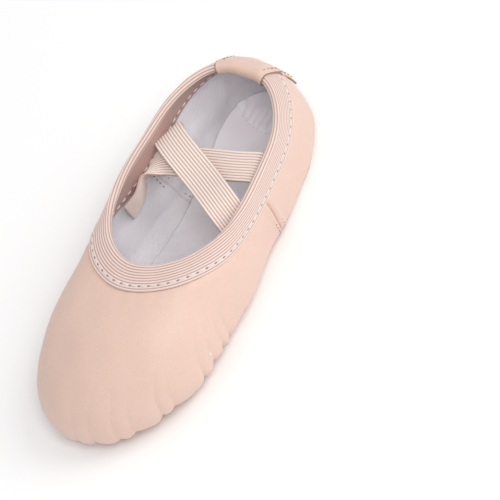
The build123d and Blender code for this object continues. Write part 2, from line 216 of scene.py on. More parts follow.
def form(share, level):
    """The foot form.  Level -1 is the sole, 0 the widest line and 1 the mouth.  Below 0 the
    wall is a quarter ellipse; above 0 each point closes over along a quarter ellipse that
    stops at the mouth, while its plane tilts to the mouth's."""
    up = np.clip(level, 0, 1)[..., None]
    down = np.clip(-level, 0, 1)[..., None]
    closed = (np.sqrt(1 - (CLOSING * up) ** 2) - CLOSING_END) / (1 - CLOSING_END)
    upper = MOUTH + (WIDEST - MOUTH) * closed[..., None]
    upper[..., 1] += PUFF * np.sin(pi * up) * np.sin(pi * FRONT) * SIDES
    lower = SOLE + (WIDEST - SOLE) * np.sqrt(1 - down**2)[..., None]
    points = np.where(level[..., None, None] >= 0, upper, lower)
    points[..., 1] += centre(points[..., 0])
    flat = np.einsum("...i,...ij->...j", round_weights(share), points)
    mouth_height = HEEL_HEIGHT + RISE * (flat[..., 0] - MOUTH_BACK)
    above = WIDEST_HEIGHT + (mouth_height - WIDEST_HEIGHT) * up[..., 0]
    below = PATCH + (WIDEST_HEIGHT - PATCH) * (1 + np.minimum(level, 0))
    return np.concatenate([flat, np.where(level >= 0, above, below)[..., None]], axis=-1)


def shell(share, row):
    """Outside of the leather.  Row 0 is the mouth, 1 the widest line, 2 the sole's edge and
    3 the middle line under the foot.  Below the widest line the front is tucked in towards
    the middle, and the toe's underside lifts a little off the patch."""
    share, row = np.broadcast_arrays(np.asarray(share, float), np.asarray(row, float))
    upper = np.sin(SWEEP * np.clip(1 - row, 0, 1)) / sin(SWEEP)
    lower = -np.cos(np.clip(2 - row, 0, 1) * pi / 2)
    points = form(share, np.where(row < 1, upper, lower))
    under = np.clip(row - 2, 0, 1)
    x = np.clip(points[..., 0], -64, 55)
    middle = np.stack([x, centre(x)], axis=-1)
    tuck = smooth(-40, 5, points[..., 0]) * (1 - 0.7 * smooth(60, 92, points[..., 0]))
    inward = unit(middle - points[..., :2])
    points[..., :2] += inward * (TUCK_IN * tuck * smooth(0.9, 2.0, row))[..., None]
    points[..., 2] += tuck * (TUCK_UP * smooth(0.3, 1.0, row) - 1.2 * smooth(1.2, 2.0, row))
    lift = np.interp(points[..., 0], LIFT_AT, LIFT)
    points[..., 2] += lift * smooth(1, 2, row) * (1 - smooth(0.02, 0.42, under))
    points[..., :2] += (middle - points[..., :2]) * under[..., None]
    return points


def outward(share, row):
    """Unit normal of the leather: the slope round crossed with the slope down."""
    share, row = np.broadcast_arrays(np.asarray(share, float), np.asarray(row, float))
    step = 1e-4
    row = np.clip(row, 2 * step, 2.98)
    return unit(np.cross(
        shell(share + step, row) - shell(share - step, row),
        shell(share, row + step) - shell(share, row - step),
    ))


def row_at(share, depth):
    """Row of the point `depth` down the wall from the mouth, by the wall's own length."""
    rows = np.linspace(0, 2, 161)
    wall = shell(share[None, :], rows[:, None])
    length = lengths(wall)
    flat = depth.reshape(-1, len(share))
    j = np.clip((length[None] < flat[:, None]).sum(1) - 1, 0, len(rows) - 2)
    column = np.arange(len(share))[None]
    low, high = length[j, column], length[j + 1, column]
    return (rows[j] + (rows[1] - rows[0]) * (flat - low) / (high - low)).reshape(depth.shape)


def waves(points, size, seed, count=7):
    """Soft random swell between about -1 and 1: plane waves of like length in seeded
    directions, added up."""
    rng = np.random.default_rng(seed)
    way = rng.normal(size=(count, 3))
    uneven = rng.uniform(0.7, 1.4, (count, 1))
    way *= (2 * pi / size) * uneven / np.linalg.norm(way, axis=1)[:, None]
    return np.sin(points @ way.T + rng.uniform(0, 2 * pi, count)).sum(-1) / (count**0.5 * 1.2)


def drift(share, turns, seed):
    """Slow uneven change round the slipper, which closes on itself: a few sines of whole
    numbers of turns."""
    rng = np.random.default_rng(seed)
    total = 0 * share
    for turn in turns:
        total = total + rng.uniform(0.5, 1) * np.sin(2 * pi * (turn * share + rng.uniform()))
    return total / len(turns)


def seam_shares(row, side):
    """Share round at which a row crosses the ring seam, on the left (side 1) or right (-1)."""
    tries = np.linspace(0, 0.5, 401) if side > 0 else np.linspace(1, 0.5, 401)
    x = shell(tries[None, :], row[:, None])[..., 0]
    j = np.clip((x < SEAM_X).sum(1) - 1, 0, len(tries) - 2)
    here = np.arange(len(row))
    part = (SEAM_X - x[here, j]) / (x[here, j + 1] - x[here, j])
    return tries[j] + (tries[1] - tries[0]) * np.clip(part, 0, 1)


def spaced_line(share, row, pitch):
    """Even steps along a line on the wall: the shares and rows that lie `pitch` apart."""
    length = lengths(shell(share, row))
    count = max(2, round(length[-1] / pitch))
    at = (np.arange(count) + 0.5) * length[-1] / count
    return np.interp(at, length, share), np.interp(at, length, row)


# --- making pieces ------------------------------------------------------------------------
def new_mesh(name, points, faces):
    """Smooth mesh of points in millimetres."""
    mesh = bpy.data.meshes.new(name)
    mesh.from_pydata((points.reshape(-1, 3) * MM).tolist(), [], faces)
    mesh.update()
    mesh.polygons.foreach_set("use_smooth", np.ones(len(mesh.polygons), bool))
    return mesh


def corners_of(mesh):
    """Point number at each corner of the mesh's faces."""
    corner = np.zeros(len(mesh.loops), np.int32)
    mesh.loops.foreach_get("vertex_index", corner)
    return corner


def lay_pattern(mesh, places):
    """Writes the pattern's places, one for each corner, as the mesh's UV map."""
    layer = mesh.uv_layers.new(name="pattern")
    layer.data.foreach_set("uv", places.astype(np.float32).ravel())


def fix_piece(name, mesh, material, stands_for, body=None, thickness=0.0):
    """Gives a mesh its finish and wall, and fixes it to the frame.  Without a body its place is
    baked into its points."""
    obj = bpy.data.objects.new(name, mesh)
    bpy.context.collection.objects.link(obj)
    mesh.materials.append(material)
    if thickness:
        solid = obj.modifiers.new("thickness", "SOLIDIFY")
        solid.thickness = thickness * MM
        solid.offset = -1
    if body:
        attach(obj, body)
    else:
        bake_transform(obj)
    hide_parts(*stands_for)
    return obj


def make_piece(name, points, material, stands_for, uv, around=False, down=False,
               turned=False, body=None, thickness=0.0):
    """Piece from a grid of points, its rows and columns joined up where asked.  A face that
    crosses the pattern's seam goes on past its end, and doubled points are merged."""
    rows, columns = points.shape[:2]
    index = np.arange(rows * columns).reshape(rows, columns)
    if down:
        index = np.concatenate([index, index[:1]])
    if around:
        index = np.concatenate([index, index[:, :1]], axis=1)
    faces = np.stack([index[:-1, :-1], index[1:, :-1], index[1:, 1:], index[:-1, 1:]], axis=-1)
    faces = faces.reshape(-1, 4)
    if not turned:
        faces = faces[:, ::-1]
    mesh = new_mesh(name, points, faces.tolist())
    places = uv.reshape(-1, 2)
    quads = places[corners_of(mesh)].reshape(-1, 4, 2)
    x, period = quads[..., 0], places[:, 0].max()
    crosses = (x.max(1) - x.min(1)) > period / 2
    quads[..., 0] = np.where(crosses[:, None] & (x < period / 2), x + period, x)
    lay_pattern(mesh, quads)
    work = bmesh.new()
    work.from_mesh(mesh)
    bmesh.ops.remove_doubles(work, verts=work.verts, dist=2e-6)
    work.to_mesh(mesh)
    work.free()
    return fix_piece(name, mesh, material, stands_for, body, thickness)


STITCH_SIDES, STITCH_RINGS = 7, 6
STITCH_SINK, STITCH_ARC = 0.35, 0.55    # as shares of the thread's diameter


def make_stitches(name, middles, along, normals, length, size, material, stands_for,
                  body=None):
    """Row of stitches.  Each is a round thread on a shallow arc that dips into the hide at
    both ends, thinner there, and its middle stands proud."""
    sides, rings, count = STITCH_SIDES, STITCH_RINGS, len(middles)
    along = unit(along)
    normals = unit(normals - (normals * along).sum(-1, keepdims=True) * along)
    across = np.cross(normals, along)
    s = np.linspace(-1, 1, rings)[:, None]
    turn = (2 * pi * np.arange(sides) / sides)[None, :]
    radius = size / 2 * np.sqrt(np.clip(1.02 - s**4, 0.03, 1))
    forward = s * length / 2 + 0 * turn
    raised = (1 - s**2) * size * STITCH_ARC - STITCH_SINK * size + radius * np.sin(turn)
    points = (
        middles[:, None, None]
        + along[:, None, None] * forward[None, ..., None]
        + normals[:, None, None] * raised[None, ..., None]
        + across[:, None, None] * (radius * np.cos(turn))[None, ..., None]
    )
    each = rings * sides
    ring = np.arange(each).reshape(rings, sides)
    ring = np.concatenate([ring, ring[:, :1]], axis=1)
    quads = np.stack([ring[:-1, 1:], ring[1:, 1:], ring[1:, :-1], ring[:-1, :-1]], axis=-1)
    caps = np.stack([np.arange(sides)[::-1], (rings - 1) * sides + np.arange(sides)])
    first = each * np.arange(count)[:, None, None]
    faces = (quads.reshape(1, -1, 4) + first).reshape(-1, 4).tolist()
    faces += (caps[None] + first).reshape(-1, sides).tolist()
    mesh = new_mesh(name, points, faces)
    uv = np.stack([forward, turn * radius], axis=-1).reshape(-1, 2)
    lay_pattern(mesh, uv[corners_of(mesh) % each])
    return fix_piece(name, mesh, material, stands_for, body)


def mouth_stitches(name, row, pitch, proud, length, size, material, inside=False):
    """Stitches spaced evenly along a closed line on the wall, `proud` of the leather."""
    share, row = spaced_line(TRIES, row, pitch)
    normals = outward(share, row)
    middles = shell(share, row) + normals * proud
    along = np.roll(middles, -1, axis=0) - np.roll(middles, 1, axis=0)
    make_stitches(name, middles, along, -normals if inside else normals, length, size,
                  material, ["topline_stitching"])


# --- finishes -----------------------------------------------------------------------------
def put(tree, kind, sockets=None, **settings):
    """Adds a node, sets it up, and links or fills its sockets."""
    node = tree.nodes.new(kind)
    for key, value in settings.items():
        setattr(node, key, value)
    for key, value in (sockets or {}).items():
        if isinstance(value, bpy.types.NodeSocket):
            tree.links.new(value, node.inputs[key])
        else:
            node.inputs[key].default_value = value
    return node


def sums(tree, operation, *values):
    """Math node on two or three values or sockets, by its result socket."""
    return put(tree, "ShaderNodeMath", dict(enumerate(values)), operation=operation).outputs[0]


def mixed(tree, factor, first, second):
    """Colour mixed from two colours by a factor."""
    return put(tree, "ShaderNodeMix", {0: factor, 6: first, 7: second},
               data_type="RGBA").outputs[2]


def ramp(tree, value, low, high, **settings):
    """Value stretched so that low gives 0 and high gives 1."""
    return put(tree, "ShaderNodeMapRange", {0: value, 1: low, 2: high}, **settings).outputs[0]


def parts_of(tree, vector):
    """A vector's X, Y and Z."""
    return put(tree, "ShaderNodeSeparateXYZ", {0: vector}).outputs


def noise(tree, given, sockets):
    """Noise at a group's place."""
    return put(tree, "ShaderNodeTexNoise", {"Vector": given["Place"], **sockets})


def half_wave(tree, value):
    """Sine of a value, between 0 and 1."""
    return sums(tree, "MULTIPLY_ADD", sums(tree, "SINE", value), 0.5, 0.5)


def new_group(name, inputs, outputs):
    """Empty shader node group with named sockets: its tree, its inputs and its outputs."""
    tree = bpy.data.node_groups.new(name, "ShaderNodeTree")
    for label, kind, value in inputs:
        socket = tree.interface.new_socket(name=label, in_out="INPUT", socket_type=kind)
        if value is not None:
            socket.default_value = value
    for label, kind in outputs:
        tree.interface.new_socket(name=label, in_out="OUTPUT", socket_type=kind)
    return tree, tree.nodes.new("NodeGroupInput").outputs, tree.nodes.new("NodeGroupOutput").inputs


VECTOR, FLOAT = "NodeSocketVector", "NodeSocketFloat"


def mottle_group():
    """Slow and quick noise added up: the uneven dye of a hide or cloth, 0 to 1."""
    tree, given, made = new_group(
        "uneven_dye", [("Place", VECTOR, None), ("Patch Size", FLOAT, 0.02)], [("Value", FLOAT)]
    )
    scale = sums(tree, "DIVIDE", 1.0, given["Patch Size"])
    slow = noise(tree, given, {"Scale": scale, "Detail": 4.0, "Roughness": 0.55})
    quick = noise(tree, given, {"Scale": sums(tree, "MULTIPLY", scale, 9.0), "Detail": 2.0})
    slow = sums(tree, "MULTIPLY", slow.outputs[0], 0.7)
    tree.links.new(sums(tree, "MULTIPLY_ADD", quick.outputs[0], 0.3, slow), made["Value"])
    return tree


def grain_group():
    """Hide grain: rounded cells with creases between them, over fine pores."""
    tree, given, made = new_group(
        "hide_grain", [("Place", VECTOR, None), ("Cell Size", FLOAT, 0.001)],
        [("Height", FLOAT), ("Creases", FLOAT)],
    )
    scale = sums(tree, "DIVIDE", 1.0, given["Cell Size"])
    wobble = noise(tree, given, {"Scale": sums(tree, "MULTIPLY", scale, 0.4)})
    shifted = put(tree, "ShaderNodeVectorMath",
                  {0: wobble.outputs["Color"], 1: (0.0012, 0.0012, 0.0012), 2: given["Place"]},
                  operation="MULTIPLY_ADD").outputs[0]
    cells = put(tree, "ShaderNodeTexVoronoi", {"Vector": shifted, "Scale": scale},
                feature="DISTANCE_TO_EDGE")
    crease = ramp(tree, cells.outputs["Distance"], 0.0, 0.22, interpolation_type="SMOOTHSTEP")
    pores = noise(tree, given, {"Scale": sums(tree, "MULTIPLY", scale, 2.2), "Detail": 3.0})
    tree.links.new(sums(tree, "MULTIPLY_ADD", pores.outputs[0], 0.6, crease), made["Height"])
    # Creases marks the grain's creases, where the leather's colour is darkened as painted shade.
    tree.links.new(sums(tree, "SUBTRACT", 1.0, crease), made["Creases"])
    return tree


def nap_group():
    """Suede nap or cut fibres: fine noise stretched a little, over coarser tufts."""
    tree, given, made = new_group(
        "fibre_nap", [("Place", VECTOR, None), ("Fibre Size", FLOAT, 0.0004)],
        [("Height", FLOAT), ("Tufts", FLOAT)],
    )
    scale = sums(tree, "DIVIDE", 1.0, given["Fibre Size"])
    fine = noise(tree, given, {"Scale": scale, "Detail": 6.0, "Roughness": 0.75})
    tufts = noise(tree, given, {"Scale": sums(tree, "MULTIPLY", scale, 0.28),
                 "Detail": 5.0, "Roughness": 0.7})
    tree.links.new(sums(tree, "ADD", fine.outputs[0], tufts.outputs[0]), made["Height"])
    tree.links.new(tufts.outputs[0], made["Tufts"])
    return tree


def weave_group():
    """Cloth weave on a pattern laid in millimetres: ridges of yarn whose line slants by
    Slant, crossed by finer yarn."""
    tree, given, made = new_group(
        "yarn_weave",
        [("Pattern", VECTOR, None), ("Pitch", FLOAT, 0.8), ("Slant", FLOAT, 1.0)],
        [("Height", FLOAT), ("Yarn", FLOAT)],
    )
    parts = parts_of(tree, given["Pattern"])
    rate = sums(tree, "DIVIDE", 2 * pi, given["Pitch"])
    lean = sums(tree, "MULTIPLY_ADD", parts["Y"], given["Slant"], parts["X"])
    ridge = half_wave(tree, sums(tree, "MULTIPLY", lean, rate))
    crossing = sums(tree, "MULTIPLY", parts["Y"], sums(tree, "MULTIPLY", rate, 1.7))
    fine = half_wave(tree, crossing)
    tree.links.new(sums(tree, "MULTIPLY_ADD", fine, 0.45, ridge), made["Height"])
    tree.links.new(ridge, made["Yarn"])
    return tree


def ribs_group():
    """Woven elastic on a pattern laid in millimetres: round ribs along it and short yarn
    bars across each one."""
    tree, given, made = new_group(
        "elastic_ribs",
        [("Pattern", VECTOR, None), ("Rib Pitch", FLOAT, 1.6), ("Bar Pitch", FLOAT, 0.55)],
        [("Rib", FLOAT), ("Bars", FLOAT)],
    )
    parts = parts_of(tree, given["Pattern"])
    turns = sums(tree, "DIVIDE", sums(tree, "MULTIPLY", parts["Y"], pi), given["Rib Pitch"])
    rib = sums(tree, "ABSOLUTE", sums(tree, "SINE", turns))
    rate = sums(tree, "DIVIDE", 2 * pi, given["Bar Pitch"])
    lean = sums(tree, "MULTIPLY_ADD", rib, 0.25, parts["X"])
    bars = half_wave(tree, sums(tree, "MULTIPLY", lean, rate))
    tree.links.new(rib, made["Rib"])
    tree.links.new(bars, made["Bars"])
    return tree


def holes_group():
    """Needle holes on a pattern laid in millimetres: dark spots every Pitch along the line
    at Line, each Size across."""
    tree, given, made = new_group(
        "needle_holes",
        [("Pattern", VECTOR, None), ("Pitch", FLOAT, 4.4), ("Line", FLOAT, 9.2),
         ("Size", FLOAT, 0.7)],
        [("Mask", FLOAT)],
    )
    parts = parts_of(tree, given["Pattern"])
    turn = sums(tree, "FRACT", sums(tree, "DIVIDE", parts["X"], given["Pitch"]))
    turn = sums(tree, "SUBTRACT", turn, sums(tree, "ROUND", turn))
    along = sums(tree, "MULTIPLY", turn, given["Pitch"])
    across = sums(tree, "SUBTRACT", parts["Y"], given["Line"])
    squares = [sums(tree, "POWER", sums(tree, "ABSOLUTE", way), 2.0) for way in (along, across)]
    far = sums(tree, "SQRT", sums(tree, "ADD", *squares))
    tree.links.new(ramp(tree, far, given["Size"], 0.15), made["Mask"])
    return tree


GROUPS = {}


def effect(tree, name, sockets):
    """Places one of the shared effects in a material with its own values."""
    if not GROUPS:
        GROUPS.update(dye=mottle_group(), grain=grain_group(), nap=nap_group(),
                      weave=weave_group(), ribs=ribs_group(), holes=holes_group())
    return put(tree, "ShaderNodeGroup", sockets, node_tree=GROUPS[name]).outputs


def dyed(tree, places, size):
    """Uneven dye over the object, in patches of that size in metres."""
    return effect(tree, "dye", {"Place": places["Object"], "Patch Size": size})["Value"]


def new_material(name, roughness, **fixed):
    """Material with one Principled shader, and its places on the object and in its pattern."""
    material = bpy.data.materials.new(f"{name}_finish")
    material.use_nodes = True
    tree = material.node_tree
    shader = tree.nodes["Principled BSDF"]
    shader.inputs["Roughness"].default_value = roughness
    for key, value in fixed.items():
        shader.inputs[key.replace("_", " ").title().replace("Ior", "IOR")].default_value = value
    places = tree.nodes.new("ShaderNodeTexCoord").outputs
    return material, tree, shader, places


def bumped(tree, shader, height, distance, strength=1.0, under=None):
    """Bump node of that height in millimetres, feeding the shader's normal."""
    sockets = {"Height": height, "Distance": distance * MM, "Strength": strength}
    if under is not None:
        sockets["Normal"] = under
    result = put(tree, "ShaderNodeBump", sockets).outputs[0]
    tree.links.new(result, shader.inputs["Normal"])
    return result


def shade(colour, factor):
    """Colour made lighter or darker, alpha kept."""
    return (*[min(1.0, c * factor) for c in colour[:3]], 1.0)


def leather_finish(name, colour, raw=None):
    """Soft pale leather: fine grain with painted shade in its creases, faint dye patches, and a raw
    fibrous cut edge if asked, where the pattern's X leaves the strip's width."""
    material, tree, shader, places = new_material(
        name, 0.5, sheen_weight=0.12, sheen_roughness=0.5, specular_ior_level=0.42
    )
    dye = dyed(tree, places, 0.03)
    grain = effect(tree, "grain", {"Place": places["Object"], "Cell Size": 0.0011})
    base = mixed(tree, dye, shade(colour, 0.94), shade(colour, 1.05))
    # Painted shade: the grain's creases are darkened in the colour.
    base = mixed(tree, sums(tree, "MULTIPLY", grain["Creases"], 0.16), base, shade(colour, 0.7))
    if raw is not None:
        side = parts_of(tree, places["UV"])["X"]
        fibres = effect(tree, "nap", {"Place": places["Object"], "Fibre Size": 0.0006})["Tufts"]
        off = sums(tree, "ADD", sums(tree, "ABSOLUTE", side), fibres)
        cut = ramp(tree, off, TAB_HALF + 0.1, TAB_HALF + 0.3)
        base = mixed(tree, cut, base, raw)
    tree.links.new(base, shader.inputs["Base Color"])
    tree.links.new(sums(tree, "MULTIPLY_ADD", dye, 0.18, 0.38), shader.inputs["Roughness"])
    bumped(tree, shader, grain["Height"], 0.07, 0.55)
    return material


def suede_finish(name, colour, edge):
    """Suede: deep nap, rubbed patches, and a pale raw cut edge by the pattern's Y."""
    material, tree, shader, places = new_material(
        name, 0.95, sheen_weight=0.35, sheen_roughness=0.6, specular_ior_level=0.2
    )
    nap = effect(tree, "nap", {"Place": places["Object"], "Fibre Size": 0.00045})
    dye = dyed(tree, places, 0.012)
    base = mixed(tree, dye, shade(colour, 0.86), shade(colour, 1.12))
    tufts = ramp(tree, nap["Tufts"], 0.42, 0.62)
    base = mixed(tree, sums(tree, "MULTIPLY", tufts, 0.45), base, shade(colour, 1.35))
    side = parts_of(tree, places["UV"])["Y"]
    raw = ramp(tree, side, 0.9, 0.2)
    base = mixed(tree, raw, base, edge)
    tree.links.new(base, shader.inputs["Base Color"])
    bumped(tree, shader, nap["Height"], 0.35, 0.7)
    return material


def elastic_finish(name, rib_lit_colour, groove_shade_colour, inner_colour, pitch, holes):
    """Ribbed elastic: ribs painted pale as their lit tops, grooves painted darker as their
    shade, and short yarn bars across each rib painted darker with that shade.  The inner face has
    its own colour past the fold, and needle holes lie (pitch, line) apart."""
    material, tree, shader, places = new_material(
        name, 0.72, sheen_weight=0.25, sheen_roughness=0.5, specular_ior_level=0.3
    )
    ribs = effect(tree, "ribs", {"Pattern": places["UV"], "Rib Pitch": pitch, "Bar Pitch": 0.62})
    dye = dyed(tree, places, 0.006)
    # Painted light and shade: rib tops take the lit colour, grooves take the shaded colour, and the
    # yarn bars are darkened towards that painted shade.
    high = ramp(tree, ribs["Rib"], 0.2, 0.8)
    base = mixed(tree, high, groove_shade_colour, rib_lit_colour)
    base = mixed(tree, sums(tree, "MULTIPLY", ribs["Bars"], 0.14), base, groove_shade_colour)
    base = mixed(tree, sums(tree, "MULTIPLY", dye, 0.12), base, shade(groove_shade_colour, 1.2))
    side = parts_of(tree, places["UV"])["Y"]
    if inner_colour is not None:
        inside = ramp(tree, side, -FOLD_RIBS * pitch + 1.0, -FOLD_RIBS * pitch - 1.5)
        lining = mixed(tree, ribs["Bars"], shade(inner_colour, 0.88), shade(inner_colour, 1.08))
        base = mixed(tree, inside, base, lining)
    if holes:
        for line in (holes[1], -FOLD_RIBS * pitch - holes[1]):
            spots = effect(tree, "holes", {"Pattern": places["UV"], "Pitch": holes[0],
                                           "Line": line})["Mask"]
            base = mixed(tree, sums(tree, "MULTIPLY", spots, 0.8), base,
                         shade(groove_shade_colour, 0.3))
    tree.links.new(base, shader.inputs["Base Color"])
    bars = bumped(tree, shader, ribs["Bars"], 0.12, 0.6)
    bumped(tree, shader, ribs["Rib"], 0.12, 0.4, bars)
    return material


def cloth_finish(name, colour, pitch, slant, depth):
    """Cotton cloth: a weave in the pattern's own lines with its yarn ridges painted lighter as
    highlight, slubs and a soft fuzz.
    """
    material, tree, shader, places = new_material(
        name, 0.88, sheen_weight=0.2, sheen_roughness=0.6, specular_ior_level=0.25
    )
    weave = effect(tree, "weave", {"Pattern": places["UV"], "Pitch": pitch, "Slant": slant})
    dye = dyed(tree, places, 0.015)
    nap = effect(tree, "nap", {"Place": places["Object"], "Fibre Size": 0.0005})
    base = mixed(tree, dye, shade(colour, 0.95), shade(colour, 1.05))
    # Painted highlight: the yarn ridges are lightened in the colour.
    base = mixed(tree, sums(tree, "MULTIPLY", weave["Yarn"], 0.3), base, shade(colour, 1.16))
    tree.links.new(base, shader.inputs["Base Color"])
    fuzz = bumped(tree, shader, nap["Height"], 0.08, 0.5)
    bumped(tree, shader, weave["Height"], depth, 0.8, fuzz)
    return material


def thread_finish(name, colour):
    """Sewing thread: two plies twisted, so the twist's slanted shadow shows."""
    material, tree, shader, places = new_material(
        name, 0.6, sheen_weight=0.2, specular_ior_level=0.35
    )
    weave = effect(tree, "weave", {"Pattern": places["UV"], "Pitch": 0.9, "Slant": 1.2})
    dye = dyed(tree, places, 0.01)
    base = mixed(tree, weave["Yarn"], shade(colour, 0.72), colour)
    base = mixed(tree, sums(tree, "MULTIPLY", dye, 0.3), base, shade(colour, 0.8))
    tree.links.new(base, shader.inputs["Base Color"])
    bumped(tree, shader, weave["Height"], 0.12, 0.8)
    return material


def board_finish(name, colour):
    """Pressed fibre board: speckled, dry and flat."""
    material, tree, shader, places = new_material(name, 0.9)
    nap = effect(tree, "nap", {"Place": places["Object"], "Fibre Size": 0.0009})
    base = mixed(tree, nap["Tufts"], shade(colour, 0.8), shade(colour, 1.15))
    tree.links.new(base, shader.inputs["Base Color"])
    bumped(tree, shader, nap["Height"], 0.1, 0.6)
    return material


def floor_finish():
    """Pale studio paper with the faintest tooth."""
    material, tree, shader, places = new_material("studio_paper", 0.9)
    dye = dyed(tree, places, 0.4)
    tree.links.new(mixed(tree, dye, (0.97, 0.97, 0.97, 1), (0.99, 0.99, 0.99, 1)),
                   shader.inputs["Base Color"])
    return material


FINISHES = {}


def finish_of(name):
    """The finish of that name, made the first time it is asked for."""
    if name not in FINISHES:
        FINISHES[name] = new_finish(name)
    return FINISHES[name]


def new_finish(name):
    """Makes the finish of that name with the scene's colours."""
    s = bpy.context.scene
    leather, cloth = s.slipper_leather, s.slipper_cloth
    elastic, thread = s.slipper_elastic, s.slipper_thread
    band_pitch = elastic.band_width / MM / elastic.band_ribs
    strap_pitch = elastic.strap_width / MM / elastic.strap_ribs
    holes = (thread.pitch / MM, (elastic.band_width - elastic.stitch_margin) / MM)
    makers = {
        "pink_leather": (leather_finish, leather.colour),
        "tab_leather": (leather_finish, leather.colour, leather.fibre_colour),
        "brown_suede": (suede_finish, leather.suede_colour, leather.edge_colour),
        "ribbed_elastic": (elastic_finish, elastic.rib_lit_colour, elastic.groove_shade_colour,
                           elastic.inner_colour, band_pitch, holes),
        "strap_elastic": (elastic_finish, elastic.strap_lit_colour, elastic.strap_groove_shade, None,
                          strap_pitch, None),
        "lining_cotton": (cloth_finish, cloth.lining_colour, 1.0, 0.8, 0.12),
        "insole_cotton": (cloth_finish, cloth.sock_colour, 0.62, 0.0, 0.07),
        "white_thread": (thread_finish, thread.white),
        "brown_thread": (thread_finish, thread.brown),
        "pink_thread": (thread_finish, thread.pink),
        "insole_board": (board_finish, cloth.board_colour),
    }
    maker, *values = makers[name]
    return maker(name, *(tuple(v) if hasattr(v, "__len__") else v for v in values))


# --- settings -----------------------------------------------------------------------------
def colour_prop(name, description, value):
    return bpy.props.FloatVectorProperty(name=name, description=description, subtype="COLOR",
                                         size=4, min=0, max=1, default=value)


def length_prop(name, description, value):
    return bpy.props.FloatProperty(name=name, description=description, default=value * MM,
                                   unit="LENGTH", precision=5, min=0)


def count_prop(name, description, value):
    return bpy.props.IntProperty(name=name, description=description, default=value)


def value_prop(name, description, value, unit="NONE"):
    return bpy.props.FloatProperty(name=name, description=description, default=value, unit=unit)


class LeatherSettings(bpy.types.PropertyGroup):
    colour: colour_prop("Leather", "Dye of the upper", (0.78, 0.555, 0.465, 1))
    suede_colour: colour_prop("Suede", "Colour of the sole patches", (0.49, 0.285, 0.215, 1))
    edge_colour: colour_prop("Raw Edge", "Colour of cut suede", (0.72, 0.54, 0.44, 1))
    fibre_colour: colour_prop("Cut Fibres", "Raw edge of the heel tab", (0.36, 0.22, 0.15, 1))
    pleat_depth: length_prop("Pleat Depth", "Depth of the gathers at the toe", 2.6)
    pleat_pitch: length_prop("Pleat Pitch", "Distance between gathers round the toe", 9.6)
    swell: length_prop("Swell", "How far the leather puffs out below the elastic", 0.9)


class ElasticSettings(bpy.types.PropertyGroup):
    band_width: length_prop("Band Width", "Outside width of the topline elastic", 11.5)
    band_ribs: count_prop("Band Ribs", "Ribs across the band", 9)
    rib_height: length_prop("Rib Height", "How far each rib stands up", 0.3)
    stitch_margin: length_prop("Stitch Margin", "From the band's edge to its stitches", 2.6)
    strap_width: length_prop("Strap Width", "Width of the crossed straps", 15)
    strap_ribs: count_prop("Strap Ribs", "Ribs across a strap", 11)
    # The band's rib and groove colours are painted light and shade: a lit copy for the rib tops and
    # a shaded copy for the grooves.
    rib_lit_colour: colour_prop("Rib", "Top of the band's ribs", (0.88, 0.72, 0.66, 1))
    groove_shade_colour: colour_prop("Groove", "Between the band's ribs", (0.50, 0.31, 0.26, 1))
    inner_colour: colour_prop("Inner Face", "Inside of the band", (0.50, 0.32, 0.285, 1))
    # The straps' rib and groove colours are painted light and shade: a lit copy for the rib tops
    # and a shaded copy for the grooves.
    strap_lit_colour: colour_prop("Strap Rib", "Top of the straps' ribs", (0.97, 0.86, 0.79, 1))
    strap_groove_shade: colour_prop("Strap Groove", "Between the straps' ribs", (0.60, 0.39, 0.33, 1))


class ClothSettings(bpy.types.PropertyGroup):
    lining_colour: colour_prop("Lining", "Twill lining of the walls", (0.88, 0.85, 0.89, 1))
    sock_colour: colour_prop("Insole", "Cotton sock over the boards", (0.86, 0.83, 0.865, 1))
    board_colour: colour_prop("Board", "Insole boards", (0.55, 0.45, 0.33, 1))
    wrinkle: length_prop("Wrinkle", "Height of the lining's soft wrinkles", 1.1)


class ThreadSettings(bpy.types.PropertyGroup):
    size: length_prop("Thread", "Diameter of the sewing thread", 0.62)
    pitch: length_prop("Pitch", "Stitch pitch round the mouth", 4.4)
    white: colour_prop("White Thread", "Round the mouth", (0.90, 0.87, 0.84, 1))
    brown: colour_prop("Brown Thread", "Round the patches", (0.33, 0.17, 0.11, 1))
    pink: colour_prop("Pink Thread", "Beside the seams", (0.50, 0.30, 0.24, 1))


class StageSettings(bpy.types.PropertyGroup):
    azimuth: value_prop("Azimuth", "Camera's turn about the slipper", radians(152.909), "ROTATION")
    elevation: value_prop("Elevation", "Camera's height angle", radians(50.5477), "ROTATION")
    roll: value_prop("Roll", "Camera's turn about its own line", radians(-38.7923), "ROTATION")
    distance: value_prop("Distance", "Camera to slipper", 2.5, "LENGTH")
    frame_width: length_prop("Frame Width", "Width that the picture takes in", 218.9)
    key: value_prop("Key", "Power of the main soft light", 6.5, "POWER")
    fill: value_prop("Fill", "Power of the fill light", 11, "POWER")
    surround: value_prop("Surround", "Brightness of the white room", 0.64)


# --- leather --------------------------------------------------------------------------------
def gathers(share, row, points, settings):
    """Pleats radiating from the sole patches.  Each is a round hump between sharp folds, the
    root of a sine, deepest at the patch and gone well above the widest line."""
    pitch = settings.pleat_pitch / MM / CHORDS.sum()
    phase = share / pitch * pi + 2.4 * drift(share, (5, 9, 14, 22), 4)
    hump = np.abs(np.sin(phase)) ** 0.62
    uneven = 1 + 0.85 * drift(share, (7, 13, 19, 31), 8) + 0.3 * smooth(20, 34, points[..., 1])
    toe = smooth(2, 40, points[..., 0]) * settings.pleat_depth / MM
    heel = 0.5 * smooth(-62, -86, points[..., 0])
    reach = smooth(0.3, 1.85, row) ** 1.5 * (1 - 0.85 * smooth(2.5, 2.95, row))
    side = 0.35 * smooth(-20, 12, points[..., 0]) * smooth(1.2, 2.0, row)
    return (toe + heel + side) * uneven * reach * (hump - 0.36)


